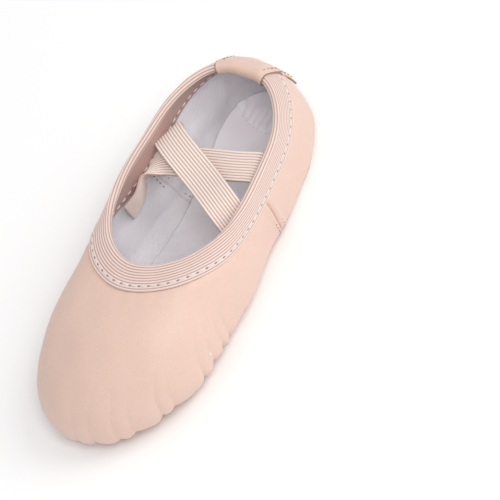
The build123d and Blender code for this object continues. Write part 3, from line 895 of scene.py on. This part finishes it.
def hide_relief(share, row, points, depth, settings):
    """How far the leather stands from the plain form: gathers at the sole, a swell and small
    puckers below the elastic, slow dents, and the sunk ring seam."""
    below = depth - BAND_EDGE
    swell = settings.swell / MM * smooth(-3, 4, below) * np.exp(-np.clip(below - 3, 0, None) / 9)
    round_wave = np.sin(2 * pi * (PUCKERS * share + 0.5 * drift(share, (3, 7, 12), 15)))
    pucker = 0.2 * round_wave * np.exp(-((below - 3) / 5.0) ** 2) * (1 + drift(share, (4, 9), 2))
    calm = smooth(9, 24, depth)
    dents = 0.85 * waves(points, 58, 3) * calm + 0.2 * waves(points, 21, 5) * calm
    seam = np.abs(points[..., 0] - SEAM_X)
    ridge = 0.38 * np.exp(-(((seam - 2.0) / 1.5) ** 2)) - 0.55 * np.exp(-((seam / 0.8) ** 2))
    toe_side = smooth(0, 40, points[..., 0])
    return (
        gathers(share, row, points, settings)
        + swell * (1 - 0.45 * toe_side)
        + pucker * (1 - 0.8 * toe_side)
        + dents * (1 - smooth(1.9, 2.2, row))
        + ridge * (1 - smooth(2.0, 2.4, row))
    )


def leather_grid(share, row, settings):
    """Points of the hide: the form moved along its normal by the relief."""
    plain = shell(share, row)
    depth = lengths(plain)
    relief = hide_relief(share, row, plain, depth, settings)
    points = plain + outward(share, row) * relief[..., None]
    points[..., 2] = np.maximum(points[..., 2], HIDE_LOWEST)
    uv = np.stack([share * CHORDS.sum(), depth], axis=-1)
    return points, uv


def strip(rows, start, end, columns):
    """Shares and rows of a strip of wall: even steps across it from start to end in each row."""
    share = start[:, None] + (end - start)[:, None] * np.linspace(0, 1, columns)
    return share, np.broadcast_to(rows[:, None], share.shape)


def rows_down():
    """Rows from the mouth to the middle line, closest where the gathers are."""
    return np.concatenate([
        np.linspace(0, 1, 46)[:-1], np.linspace(1, 2, 26)[:-1], np.linspace(2, 2.75, 16)[:-1],
        np.linspace(2.75, 3, 5),
    ])


class SLIPPER_OT_upper(bpy.types.Operator):
    """Cuts and gathers the leather: the vamp and the two quarters"""
    bl_idname = "slipper.upper"
    bl_label = "Leather Upper"

    def execute(self, context):
        settings = context.scene.slipper_leather
        leather = finish_of("pink_leather")
        rows = rows_down()
        left, right = seam_shares(rows, 1), seam_shares(rows, -1)
        for name, start, end, columns in (
            ("vamp", left, right, VAMP_COLUMNS),
            ("quarter_left", 0 * left, left, QUARTER_COLUMNS),
            ("quarter_right", right, 0 * right + 1, QUARTER_COLUMNS),
        ):
            points, uv = leather_grid(*strip(rows, start, end, columns), settings)
            make_piece(f"{name}_leather", points, leather, [name], uv,
                       thickness=LEATHER)
        return {"FINISHED"}


# --- linings and sock -----------------------------------------------------------------------
class SLIPPER_OT_lining(bpy.types.Operator):
    """Hangs the twill lining inside the upper, softly wrinkled"""
    bl_idname = "slipper.lining"
    bl_label = "Cotton Lining"

    def execute(self, context):
        wrinkle = context.scene.slipper_cloth.wrinkle / MM
        cotton = finish_of("lining_cotton")
        rows = np.linspace(0.012, 2.0, 70)
        left, right = seam_shares(rows, 1), seam_shares(rows, -1)
        for name, start, end in (("vamp_lining", left, right), ("quarter_lining", right - 1, left)):
            share, row = strip(rows, start, end, LINING_COLUMNS)
            plain = shell(share, row)
            depth = lengths(plain)
            loose = smooth(10, 22, depth) * (1 - smooth(1.6, 2.0, row))
            folds = np.clip(0.55 + waves(plain, 26, 11) * 0.7 + waves(plain, 10, 12) * 0.25, 0, 2)
            inset = LINING_OUT + 0.02 + wrinkle * folds * loose
            points = plain - outward(share, row) * inset[..., None]
            uv = np.stack([share * CHORDS.sum(), depth], axis=-1)
            make_piece(name + "_cloth", points, cotton, [name], uv,
                       thickness=LINING)
        return {"FINISHED"}


def disc_grid(line, insets, share, inner, middle_from, middle_to):
    """Rings of an outline moved in by each inset along its own normal, and then drawn in to
    the middle line by even shares."""
    edge = outline(line, share)
    slope = unit(outline(line, share + 1e-4) - outline(line, share - 1e-4))
    inward = np.stack([slope[:, 1], -slope[:, 0]], axis=-1)
    rings = edge[None] + inward[None] * np.asarray(insets)[:, None, None]
    even = (rings[-1][:, 0] + np.roll(rings[-1][::-1, 0], 1)) / 2
    x = np.clip(even, middle_from, middle_to)
    middle = np.stack([x, centre(x)], axis=-1)
    parts = np.linspace(0, 1, inner + 1)[1:, None, None]
    return np.concatenate([rings, rings[-1][None] + (middle - rings[-1])[None] * parts])


def sock_row(y):
    """How far along the sock its curved row lies at y from the middle line: a parabola."""
    return SOCK_ROW_X - SOCK_ROW_RISE * (y / SOCK_ROW_HALF) ** 2


class SLIPPER_OT_sock(bpy.types.Operator):
    """Lays the cotton insole sock, dished and gathered behind its heel stitching"""
    bl_idname = "slipper.sock"
    bl_label = "Insole Sock"

    def execute(self, context):
        cotton = finish_of("insole_cotton")
        share = np.arange(360) / 360
        line = round_outline(SOCK_LINE)
        border = np.linspace(0, 6, 12)
        flat = disc_grid(line, border, share, 34, -62, 55)
        inset = np.concatenate([border, 6 + 14 * np.linspace(0, 1, 35)[1:]])[:, None]
        edge_curl = 0.9 * np.exp(-inset / 2.5)
        place = np.concatenate([flat, 0 * flat[..., :1]], axis=-1)
        swell = 0.3 * waves(place, 30, 21) + 0.12 * waves(place, 11, 22)
        past = flat[..., 0] - sock_row(flat[..., 1] - centre(flat[..., 0]))
        behind = smooth(0, -2, past) * smooth(-16, -4, past)
        tucks = np.abs(np.sin(pi * flat[..., 1] / 4.2 + 1.5 * waves(place, 25, 23))) ** 0.7
        toe_lift = smooth(62, 92, flat[..., 0]) * 4.5
        soft = np.clip(swell + 0.4, 0, 1.2)
        height = SOCK_TOP + toe_lift + edge_curl + soft + 1.1 * behind * tucks
        points = np.concatenate([flat, height[..., None]], axis=-1)
        uv = flat + 200
        sock = make_piece("sock_cloth", points, cotton, ["insole_sock"], uv,
                          around=True, thickness=SOCK)
        return {"FINISHED"}


# --- topline elastic ------------------------------------------------------------------------
def band_section(width, ribs, rib_height):
    """Closed section of the folded band: depth down the wall, distance out from the leather
    and how far round the fold, with ribs as half waves on the outer face."""
    pitch = width / ribs
    down = np.linspace(width, 0, ribs * 5 + 1)
    rib = np.abs(np.sin(pi * down / pitch)) ** 0.8 * rib_height
    rounded = smooth(width, width - 0.5, down)
    outer = np.stack([down, 0.35 + (ELASTIC_OUT - 0.35) * rounded + rib - 0.12, 0 * down, down], -1)
    turn = np.linspace(0, pi, FOLD_RIBS * 5 + 1)[1:-1]
    radius = (ELASTIC_OUT + ELASTIC_IN) / 2
    fold_rib = np.abs(np.sin(FOLD_RIBS * turn)) ** 0.8 * rib_height * 0.9
    out = (ELASTIC_OUT - ELASTIC_IN) / 2 + (radius + fold_rib - 0.1) * np.cos(turn)
    over = (radius + fold_rib - 0.1) * np.sin(turn)
    fold = np.stack([0 * turn, out, over, -turn / pi * FOLD_RIBS * pitch], -1)
    back = np.linspace(0, BAND_EDGE, 28)
    inner_rib = np.abs(np.sin(pi * back / pitch)) ** 0.8 * rib_height * 0.3
    start = FOLD_RIBS * pitch
    rounded = smooth(BAND_EDGE, BAND_EDGE - 0.5, back)
    inner = np.stack([back, -1.75 - (ELASTIC_IN - 1.75) * rounded - inner_rib, 0 * back,
                      -start - back], -1)
    up = np.linspace(BAND_EDGE, 0, 9)
    hidden = -start - BAND_EDGE     # the faces against the cloth and hide share one place
    lining_side = np.stack([up, -1.7 + 0 * up, 0 * up, hidden + 0 * up], -1)
    turn = np.linspace(pi, 0, 7)[1:-1]
    under = np.stack([0 * turn, -0.7 + np.cos(turn), np.sin(turn), hidden + 0 * turn], -1)
    hide_side = np.stack([up[::-1], 0.3 + 0 * up, 0 * up, hidden + 0 * up], -1)
    return np.concatenate([outer, fold, inner, lining_side, under, hide_side])


class SLIPPER_OT_topline(bpy.types.Operator):
    """Folds the ribbed elastic over the mouth's edge"""
    bl_idname = "slipper.topline"
    bl_label = "Topline Elastic"

    def execute(self, context):
        settings = context.scene.slipper_elastic
        section = band_section(settings.band_width / MM, settings.band_ribs,
                               settings.rib_height / MM)
        share = even_mouth_shares(BAND_COLUMNS)
        depth = np.broadcast_to(section[:, :1], (len(section), BAND_COLUMNS))
        row = row_at(share, depth)
        wide = np.broadcast_to(share, row.shape)
        plain, normal = shell(wide, row), outward(wide, row)
        brim = past_mouth(share)
        uneven = 0.12 * waves(plain, 14, 31)
        points = (
            plain
            + normal * (section[:, 1, None] + uneven * (section[:, 1, None] > 0.9))[..., None]
            + brim[None] * section[:, 2, None, None]
        )
        length = mouth_length(share)
        uv = np.stack(np.broadcast_arrays(length[None], section[:, 3, None]), axis=-1)
        make_piece("topline_band", points, finish_of("ribbed_elastic"),
                   ["topline_elastic"], uv, around=True, down=True, turned=True)
        return {"FINISHED"}


def stitch_line_row(share, depth=STITCH_LINE):
    """Row of the stitch line round the band."""
    return row_at(share, np.full((1, len(share)), depth))[0]


def past_mouth(share):
    """Direction in which the wall would go on past the mouth's edge."""
    return unit(shell(share, 0 * share) - shell(share, 0 * share + 0.01))


def even_mouth_shares(count):
    """Shares that step evenly round the stitch line."""
    length = lengths(shell(TRIES, stitch_line_row(TRIES)))
    return np.interp(np.arange(count) * length[-1] / count, length, TRIES)


def mouth_length(share):
    """Length round the stitch line at each share, scaled to a whole number of stitches."""
    length = lengths(shell(TRIES, stitch_line_row(TRIES)))
    pitch = bpy.context.scene.slipper_thread.pitch / MM
    return np.interp(share, TRIES, length) * round(length[-1] / pitch) * pitch / length[-1]


# --- crossed straps -------------------------------------------------------------------------
def open_curve(points, at):
    """Smooth open line through points by their chords: each span a cubic, ends unbent.
    Gives its points at shares of its length, and the shares of the points it passes."""
    points = np.asarray(points, float)
    knots = lengths(points)
    span = np.diff(knots)
    count = len(points)
    system, turns = np.eye(count), np.zeros((count, count))
    mid = np.arange(1, count - 1)
    system[mid, mid - 1], system[mid, mid], system[mid, mid + 1] = (
        span[:-1], 2 * (span[:-1] + span[1:]), span[1:]
    )
    turns[mid, mid - 1], turns[mid, mid + 1] = 6 / span[:-1], 6 / span[1:]
    turns[mid, mid] = -6 / span[:-1] - 6 / span[1:]
    bend = np.linalg.solve(system, turns) @ points
    place = np.asarray(at) * knots[-1]
    j = np.clip(np.searchsorted(knots, place, side="right") - 1, 0, count - 2)
    size = span[j][:, None]
    b = (place - knots[j])[:, None] / size
    a = 1 - b
    return (a * points[j] + b * points[j + 1]
            + ((a**3 - a) * bend[j] + (b**3 - b) * bend[j + 1]) * size**2 / 6), knots / knots[-1]


def strap_points(route, width, ribs, rib_height, count):
    """Ribbed strap: a flat section with half-wave ribs on both faces, carried along the
    route and turned with the direction given across it."""
    middles = np.array([(x, y + SIDE_SHIFT, z) for (x, y, z), _ in route])
    across = np.array([way for _, way in route], float)
    at = np.linspace(0, 1, count)
    line, knots = open_curve(middles, at)
    along = unit(np.gradient(line, axis=0))
    wide = np.stack([np.interp(at, knots, across[:, i]) for i in range(3)], axis=-1)
    kernel = np.ones(9) / 9
    padded = np.pad(wide, ((4, 4), (0, 0)), mode="edge")
    wide = np.stack([np.convolve(padded[:, i], kernel, "valid") for i in range(3)], axis=-1)
    wide = unit(wide - (wide * along).sum(1, keepdims=True) * along)
    face = np.cross(wide, along)
    side = np.linspace(-width / 2, width / 2, ribs * 6 + 1)
    rib = 0.3 + rib_height * np.abs(np.sin(pi * (side + width / 2) / (width / ribs))) ** 0.75
    section = np.concatenate([
        np.stack([side, rib, side + width], -1),
        np.stack([side[::-1], -rib, side[::-1] + width], -1),
    ])
    length = lengths(line)
    points = (line[None] + wide[None] * section[:, 0, None, None]
              + face[None] * section[:, 1, None, None])
    uv = np.stack(np.broadcast_arrays(length[None], section[:, 2, None] - width / 2), axis=-1)
    return points, uv


def closed_ends(points, uv):
    """Shuts a strap's two ends: there each point of one face meets the other face's halfway."""
    first, last = ((end + end[::-1]) / 2 for end in (points[:, :1], points[:, -1:]))
    return (np.concatenate([first, points, last], axis=1),
            np.concatenate([uv[:, :1], uv, uv[:, -1:]], axis=1))


STRAP_COLUMNS, STRAP_RIB = 110, 0.4     # stations along a strap, height of its ribs


class SLIPPER_OT_straps(bpy.types.Operator):
    """Crosses the two ribbed elastic straps over the mouth"""
    bl_idname = "slipper.straps"
    bl_label = "Crossed Straps"

    def execute(self, context):
        settings = context.scene.slipper_elastic
        for name, route in (("over_strap", OVER_STRAP_ROUTE), ("under_strap", UNDER_STRAP_ROUTE)):
            points, uv = strap_points(route, settings.strap_width / MM, settings.strap_ribs,
                                      STRAP_RIB, STRAP_COLUMNS)
            points, uv = closed_ends(points, uv)
            make_piece(f"{name}_web", points, finish_of("strap_elastic"),
                       [name], uv, down=True, turned=True)
        return {"FINISHED"}


# --- heel tab -------------------------------------------------------------------------------
TAB_OUT, TAB_IN = 2.25, 3.8         # tab's outside and inside runs, from the leather
TAB_STEP = 1.15                     # how far it drops below the elastic's edge
TAB_DOWN, TAB_INSIDE = 27.5, 7.5    # how deep the two runs reach
TAB_COLUMNS = 57


def tab_off(depth, out):
    """Distance of the tab's outside run from the leather: it drops past the elastic's edge."""
    return out - TAB_STEP * smooth(10.5, 14.5, depth)


class SLIPPER_OT_tab(bpy.types.Operator):
    """Rolls the leather tab over the elastic at the back of the heel"""
    bl_idname = "slipper.tab"
    bl_label = "Heel Tab"

    def execute(self, context):
        outside = np.linspace(TAB_DOWN, 0, 46)
        turn = np.linspace(0, pi, 17)[1:-1]
        radius = (TAB_OUT + TAB_IN) / 2
        inside = np.linspace(0, TAB_INSIDE, 14)
        depth = np.concatenate([outside, 0 * turn, inside])
        rolled = (TAB_OUT - TAB_IN) / 2 + radius * np.cos(turn)
        off = np.concatenate([tab_off(outside, TAB_OUT), rolled, -TAB_IN + 0 * inside])
        over = np.concatenate([0 * outside, radius * np.sin(turn), 0 * inside])
        share = np.linspace(-1, 1, TAB_COLUMNS)
        mouth = even_mouth_shares(2000)
        mouth = np.where(mouth > 0.5, mouth - 1, mouth)
        order = np.argsort(mouth)
        y = shell(mouth[order], 0 * mouth)[:, 1] - centre(MOUTH_BACK)
        near = np.abs(mouth[order]) < 0.12
        share = np.interp(share * TAB_HALF, y[near], mouth[order][near])
        row = row_at(share, np.broadcast_to(depth[:, None], (len(depth), len(share))))
        wide = np.broadcast_to(share, row.shape)
        brim = past_mouth(share)
        plain = shell(wide, row)
        rumple = 0.35 * waves(plain, 15, 41) + 0.15 * waves(plain, 7, 42)
        points = (
            plain
            + outward(wide, row) * (off[:, None] + np.clip(rumple, -0.2, 0.5))[..., None]
            + brim[None] * over[:, None, None]
        )
        side = np.linspace(-TAB_HALF, TAB_HALF, TAB_COLUMNS)
        uv = np.stack(np.broadcast_arrays(side[None], depth[:, None]), axis=-1)
        make_piece("heel_tab_leather", points, finish_of("tab_leather"),
                   ["heel_tab"], uv, body="heel", turned=True, thickness=LEATHER)
        return {"FINISHED"}


# --- sole patches ---------------------------------------------------------------------------
def plate_grid(half, profile, low, high):
    """Flat plate with a rounded edge: rings of its outline at each (inset, height) of the
    profile, from the top face round the edge to the underside, both drawn in to the middle."""
    share = np.arange(PLATE_COLUMNS) / PLATE_COLUMNS
    line = round_outline(half)
    insets, heights = np.array(profile).T
    flat = disc_grid(line, insets, share, PLATE_RINGS, low, high)
    top = disc_grid(line, [insets[0], 2.5], share, 3, low, high)[:0:-1]
    flat = np.concatenate([top, flat])
    height = np.concatenate([np.full(len(top), heights[0]), heights,
                             np.full(PLATE_RINGS, heights[-1])])
    points = np.concatenate(
        [flat, np.broadcast_to(height[:, None, None], (*flat.shape[:2], 1))], axis=-1
    )
    inset = np.concatenate([np.zeros(len(top)), insets, np.full(PLATE_RINGS, 9.0)])
    uv = np.stack(np.broadcast_arrays(share[None] * 200, inset[:, None]), axis=-1)
    return points, uv


class SLIPPER_OT_patches(bpy.types.Operator):
    """Cuts the two suede sole patches, with a stitch groove and a raw rounded edge"""
    bl_idname = "slipper.patches"
    bl_label = "Sole Patches"

    def execute(self, context):
        suede = finish_of("brown_suede")
        profile = [
            (0.55, 1.28), (0.25, 1.2), (0.06, 1.0), (0, 0.65), (0.06, 0.3), (0.25, 0.1),
            (0.6, 0.02), (1.1, 0), (1.8, 0), (2.3, 0.12), (2.6, 0.3), (2.9, 0.12), (3.4, 0),
            (4.2, 0), (5.5, 0),
        ]
        for name, half, low, high in (
            ("front_sole_patch", FRONT_PATCH_LINE, 6, 50),
            ("heel_sole_patch", HEEL_PATCH_LINE, -68, -52),
        ):
            points, uv = plate_grid(half, profile, low, high)
            make_piece(f"{name}_suede", points, suede, [name], uv, around=True)
        return {"FINISHED"}


# --- stitching ------------------------------------------------------------------------------
class SLIPPER_OT_stitching(bpy.types.Operator):
    """Sews every row of stitches"""
    bl_idname = "slipper.stitching"
    bl_label = "Stitching"

    def execute(self, context):
        threads, elastic = context.scene.slipper_thread, context.scene.slipper_elastic
        size, pitch = threads.size / MM, threads.pitch / MM
        depth = (elastic.band_width - elastic.stitch_margin) / MM
        white, brown, pink = (finish_of(f"{x}_thread") for x in ("white", "brown", "pink"))
        row = stitch_line_row(TRIES, depth)
        mouth_stitches("topline_thread", row, pitch, ELASTIC_OUT + 0.1, 3.4, size, white)
        mouth_stitches("topline_thread_inside", row, pitch, -ELASTIC_IN - 0.05, 3.0, size, white,
                       inside=True)
        rows = np.linspace(0.0, 2.0, 200)
        for name, shift in (("front_seam", SEAM_MARGIN), ("rear_seam", -SEAM_MARGIN)):
            made = []
            for side in (1, -1):
                share = seam_shares(rows, side)
                points = shell(share, rows)
                near = shell(share + 1e-3, rows)[:, 0] - points[:, 0]
                share = share + shift * 1e-3 / near
                keep = lengths(points) > SEAM_TOP
                s, r = spaced_line(share[keep], rows[keep], SEAM_PITCH)
                here = shell(s, r)
                made.append((here, np.gradient(here, axis=0), outward(s, r)))
            here, along, normal = (np.concatenate(x) for x in zip(*made))
            make_stitches(f"{name}_thread", here + normal * 0.28, along, normal, 1.9, 0.5, pink,
                          [f"{name}_stitching"])
            make_stitches(f"{name}_thread_inside", here - normal * (LINING_IN + 0.5), along,
                          -normal, 1.2, 0.45, brown, [f"{name}_stitching"])
        for name, half in (("front_sole", FRONT_PATCH_LINE), ("heel_sole", HEEL_PATCH_LINE)):
            line = round_outline(half)
            flat = disc_grid(line, [SOLE_MARGIN], TRIES, 0, 0, 1)[0]
            length = lengths(flat)
            count = round(length[-1] / SOLE_PITCH)
            at = np.arange(count) * length[-1] / count
            here = np.stack([np.interp(at, length, flat[:, 0]), np.interp(at, length, flat[:, 1]),
                             0.22 + 0 * at], axis=-1)
            along = np.roll(here, -1, axis=0) - np.roll(here, 1, axis=0)
            normal = np.array([[0, 0, -1.0]]) + 0 * here
            make_stitches(f"{name}_thread", here, along, normal, 2.5, 0.5, brown,
                          [f"{name}_stitching"])
        y = np.arange(-16.8, 17, 2.4)
        x = sock_row(y)
        here = np.stack([x, y + centre(x), SOCK_TOP + 0.75 + 0 * x], axis=-1)
        normal = np.array([[0, 0, 1.0]]) + 0 * here
        make_stitches("sock_thread", here, np.gradient(here, axis=0), normal, 1.8, 0.5, white,
                      ["sock_stitching"])
        tab_rows(pink)
        tacks(white)
        return {"FINISHED"}


def tab_rows(pink):
    """Two rows down the outside of the heel tab, near its cut edges."""
    made = []
    for half in (TAB_MARGIN - TAB_HALF, TAB_HALF - TAB_MARGIN):
        tries = np.linspace(-0.12, 0.12, 400)
        y = shell(tries, 0 * tries)[:, 1] - centre(MOUTH_BACK)
        share = np.full(TAB_STITCHES, np.interp(half, y, tries))
        depth = np.linspace(1.5, 25, TAB_STITCHES)
        row = row_at(share, depth[None, :])[0]
        normal = outward(share, row)
        here = shell(share, row) + normal * tab_off(depth, TAB_OUT + 0.15)[:, None]
        made.append((here, np.gradient(here, axis=0), normal))
    here, along, normal = (np.concatenate(x) for x in zip(*made))
    make_stitches("heel_tab_thread", here, along, normal, 2.1, 0.45, pink,
                  ["heel_tab_stitching"], body="heel")


def tacks(white):
    """Short bar tacks that hold each strap's end inside the wall."""
    here, along, normal = [], [], []
    for route, station in ((OVER_STRAP_ROUTE, 0), (OVER_STRAP_ROUTE, -1),
                           (UNDER_STRAP_ROUTE, 0), (UNDER_STRAP_ROUTE, -1)):
        (x, y, z), way = route[station]
        way = unit(np.array(way))
        other = unit(np.array(route[1 if station == 0 else -2][0]) - np.array((x, y, z)))
        face = np.cross(way, other)
        middle = np.array([x, y + SIDE_SHIFT, z]) + other * 1.5
        face = face * (-1 if face @ (np.array([-20, 0, z]) - middle) < 0 else 1)
        for step in (-4.0, 0.0, 4.0):
            here.append(middle + way * step + face * 0.6)
            along.append(way)
            normal.append(face)
    make_stitches("strap_tack_thread", np.array(here), np.array(along), np.array(normal), 2.8, 0.5,
                  white, ["strap_tacks"])


class SLIPPER_OT_boards(bpy.types.Operator):
    """Lays the two insole boards under the sock"""
    bl_idname = "slipper.boards"
    bl_label = "Insole Boards"

    def execute(self, context):
        board = finish_of("insole_board")
        profile = [(0.2, 4.4), (0.05, 4.3), (0, 3.65), (0.05, 3.0), (0.2, 2.9), (2.0, 2.9)]
        for name, half, low, high, body in (
            ("forefoot_board", FOREFOOT_BOARD_LINE, 5, 55, "forefoot"),
            ("heel_board", HEEL_BOARD_LINE, -68, -54, "heel"),
        ):
            points, uv = plate_grid(half, profile, low, high)
            make_piece(f"{name}_fibre", points, board, [name], uv, around=True,
                       body=body)
        return {"FINISHED"}


# --- stage ----------------------------------------------------------------------------------
FLOOR_REACH = 6.0                       # metres from here on
VIEW_SIDE, VIEW_RISE = 0.02035, 0.00906     # middle of the view, from the origin
SENSOR = 36                             # millimetres
LIGHTS_AT = (0, 0, 0.02)                # what the lights look at


def area_light(name, place, target, size, power):
    """Square soft box that looks at the target."""
    lamp = bpy.data.lights.new(name, "AREA")
    lamp.shape = "SQUARE"
    lamp.size, lamp.energy = size, power
    obj = bpy.data.objects.new(name, lamp)
    bpy.context.collection.objects.link(obj)
    obj.location = place
    obj.rotation_euler = (Vector(target) - Vector(place)).to_track_quat("-Z", "Y").to_euler()


class SLIPPER_OT_stage(bpy.types.Operator):
    """Sets the pale floor, the soft lights and the camera"""
    bl_idname = "slipper.stage"
    bl_label = "Stage"

    def execute(self, context):
        scene, s = context.scene, context.scene.slipper_stage
        floor = bpy.data.meshes.new("studio_floor")
        edge = FLOOR_REACH
        floor.from_pydata([(-edge, -edge, 0), (edge, -edge, 0), (edge, edge, 0), (-edge, edge, 0)],
                          [], [(0, 1, 2, 3)])
        obj = bpy.data.objects.new("studio_floor", floor)
        scene.collection.objects.link(obj)
        floor.materials.append(floor_finish())

        back = np.array([sin(s.azimuth) * cos(s.elevation), -cos(s.azimuth) * cos(s.elevation),
                         sin(s.elevation)])
        level = np.array([cos(s.azimuth), sin(s.azimuth), 0])
        rise = np.cross(back, level)
        right = cos(s.roll) * level + sin(s.roll) * rise
        up = cos(s.roll) * rise - sin(s.roll) * level
        target = right * VIEW_SIDE + up * VIEW_RISE
        lens = bpy.data.cameras.new("camera")
        lens.sensor_width = SENSOR
        lens.lens = SENSOR * s.distance / s.frame_width
        lens.clip_start, lens.clip_end = 0.1, 20
        camera = bpy.data.objects.new("camera", lens)
        scene.collection.objects.link(camera)
        place = Matrix([[*row] for row in np.stack([right, up, back], axis=1).tolist()]).to_4x4()
        place.translation = Vector((target + back * s.distance).tolist())
        camera.matrix_world = place
        scene.camera = camera

        def stand(side, height, near):
            return tuple((right * side + up * height + back * near).tolist())
        area_light("key_light", stand(0.6, 0.85, 1.0), LIGHTS_AT, 0.8, s.key)
        area_light("fill_light", stand(0.05, 0.3, 1.9), LIGHTS_AT, 0.7, s.fill)
        world = bpy.data.worlds.new("white_room")
        scene.world = world
        world.use_nodes = True
        light = world.node_tree.nodes["Background"].inputs
        light["Color"].default_value = (1, 1, 1, 1)
        light["Strength"].default_value = s.surround
        scene.view_settings.view_transform = "Standard"
        return {"FINISHED"}


class SLIPPER_PT_panel(bpy.types.Panel):
    """Buttons for each group of pieces, and their settings"""
    bl_idname = "SLIPPER_PT_panel"
    bl_label = "Ballet Slipper"
    bl_space_type = "VIEW_3D"
    bl_region_type = "UI"
    bl_category = "Slipper"

    def draw(self, context):
        for step in STEPS:
            self.layout.operator(step.bl_idname)
        for name, group in SETTINGS.items():
            box = self.layout.box()
            for prop in group.__annotations__:
                box.prop(getattr(context.scene, name), prop)


SETTINGS = {
    "slipper_leather": LeatherSettings,
    "slipper_elastic": ElasticSettings,
    "slipper_cloth": ClothSettings,
    "slipper_thread": ThreadSettings,
    "slipper_stage": StageSettings,
}
STEPS = (SLIPPER_OT_stage, SLIPPER_OT_upper, SLIPPER_OT_lining, SLIPPER_OT_sock,
         SLIPPER_OT_topline, SLIPPER_OT_straps, SLIPPER_OT_tab, SLIPPER_OT_patches,
         SLIPPER_OT_stitching, SLIPPER_OT_boards)
CLASSES = (*SETTINGS.values(), *STEPS, SLIPPER_PT_panel)


def register():
    for cls in CLASSES:
        bpy.utils.register_class(cls)
    for name, group in SETTINGS.items():
        setattr(bpy.types.Scene, name, bpy.props.PointerProperty(type=group))


def unregister():
    for name in SETTINGS:
        delattr(bpy.types.Scene, name)
    for cls in reversed(CLASSES):
        bpy.utils.unregister_class(cls)


def main():
    """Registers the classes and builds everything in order."""
    register()
    bpy.ops.slipper.stage()
    bpy.ops.slipper.upper()
    bpy.ops.slipper.lining()
    bpy.ops.slipper.sock()
    bpy.ops.slipper.topline()
    bpy.ops.slipper.straps()
    bpy.ops.slipper.tab()
    bpy.ops.slipper.patches()
    bpy.ops.slipper.stitching()
    bpy.ops.slipper.boards()


if __name__ == "__main__":
    main()
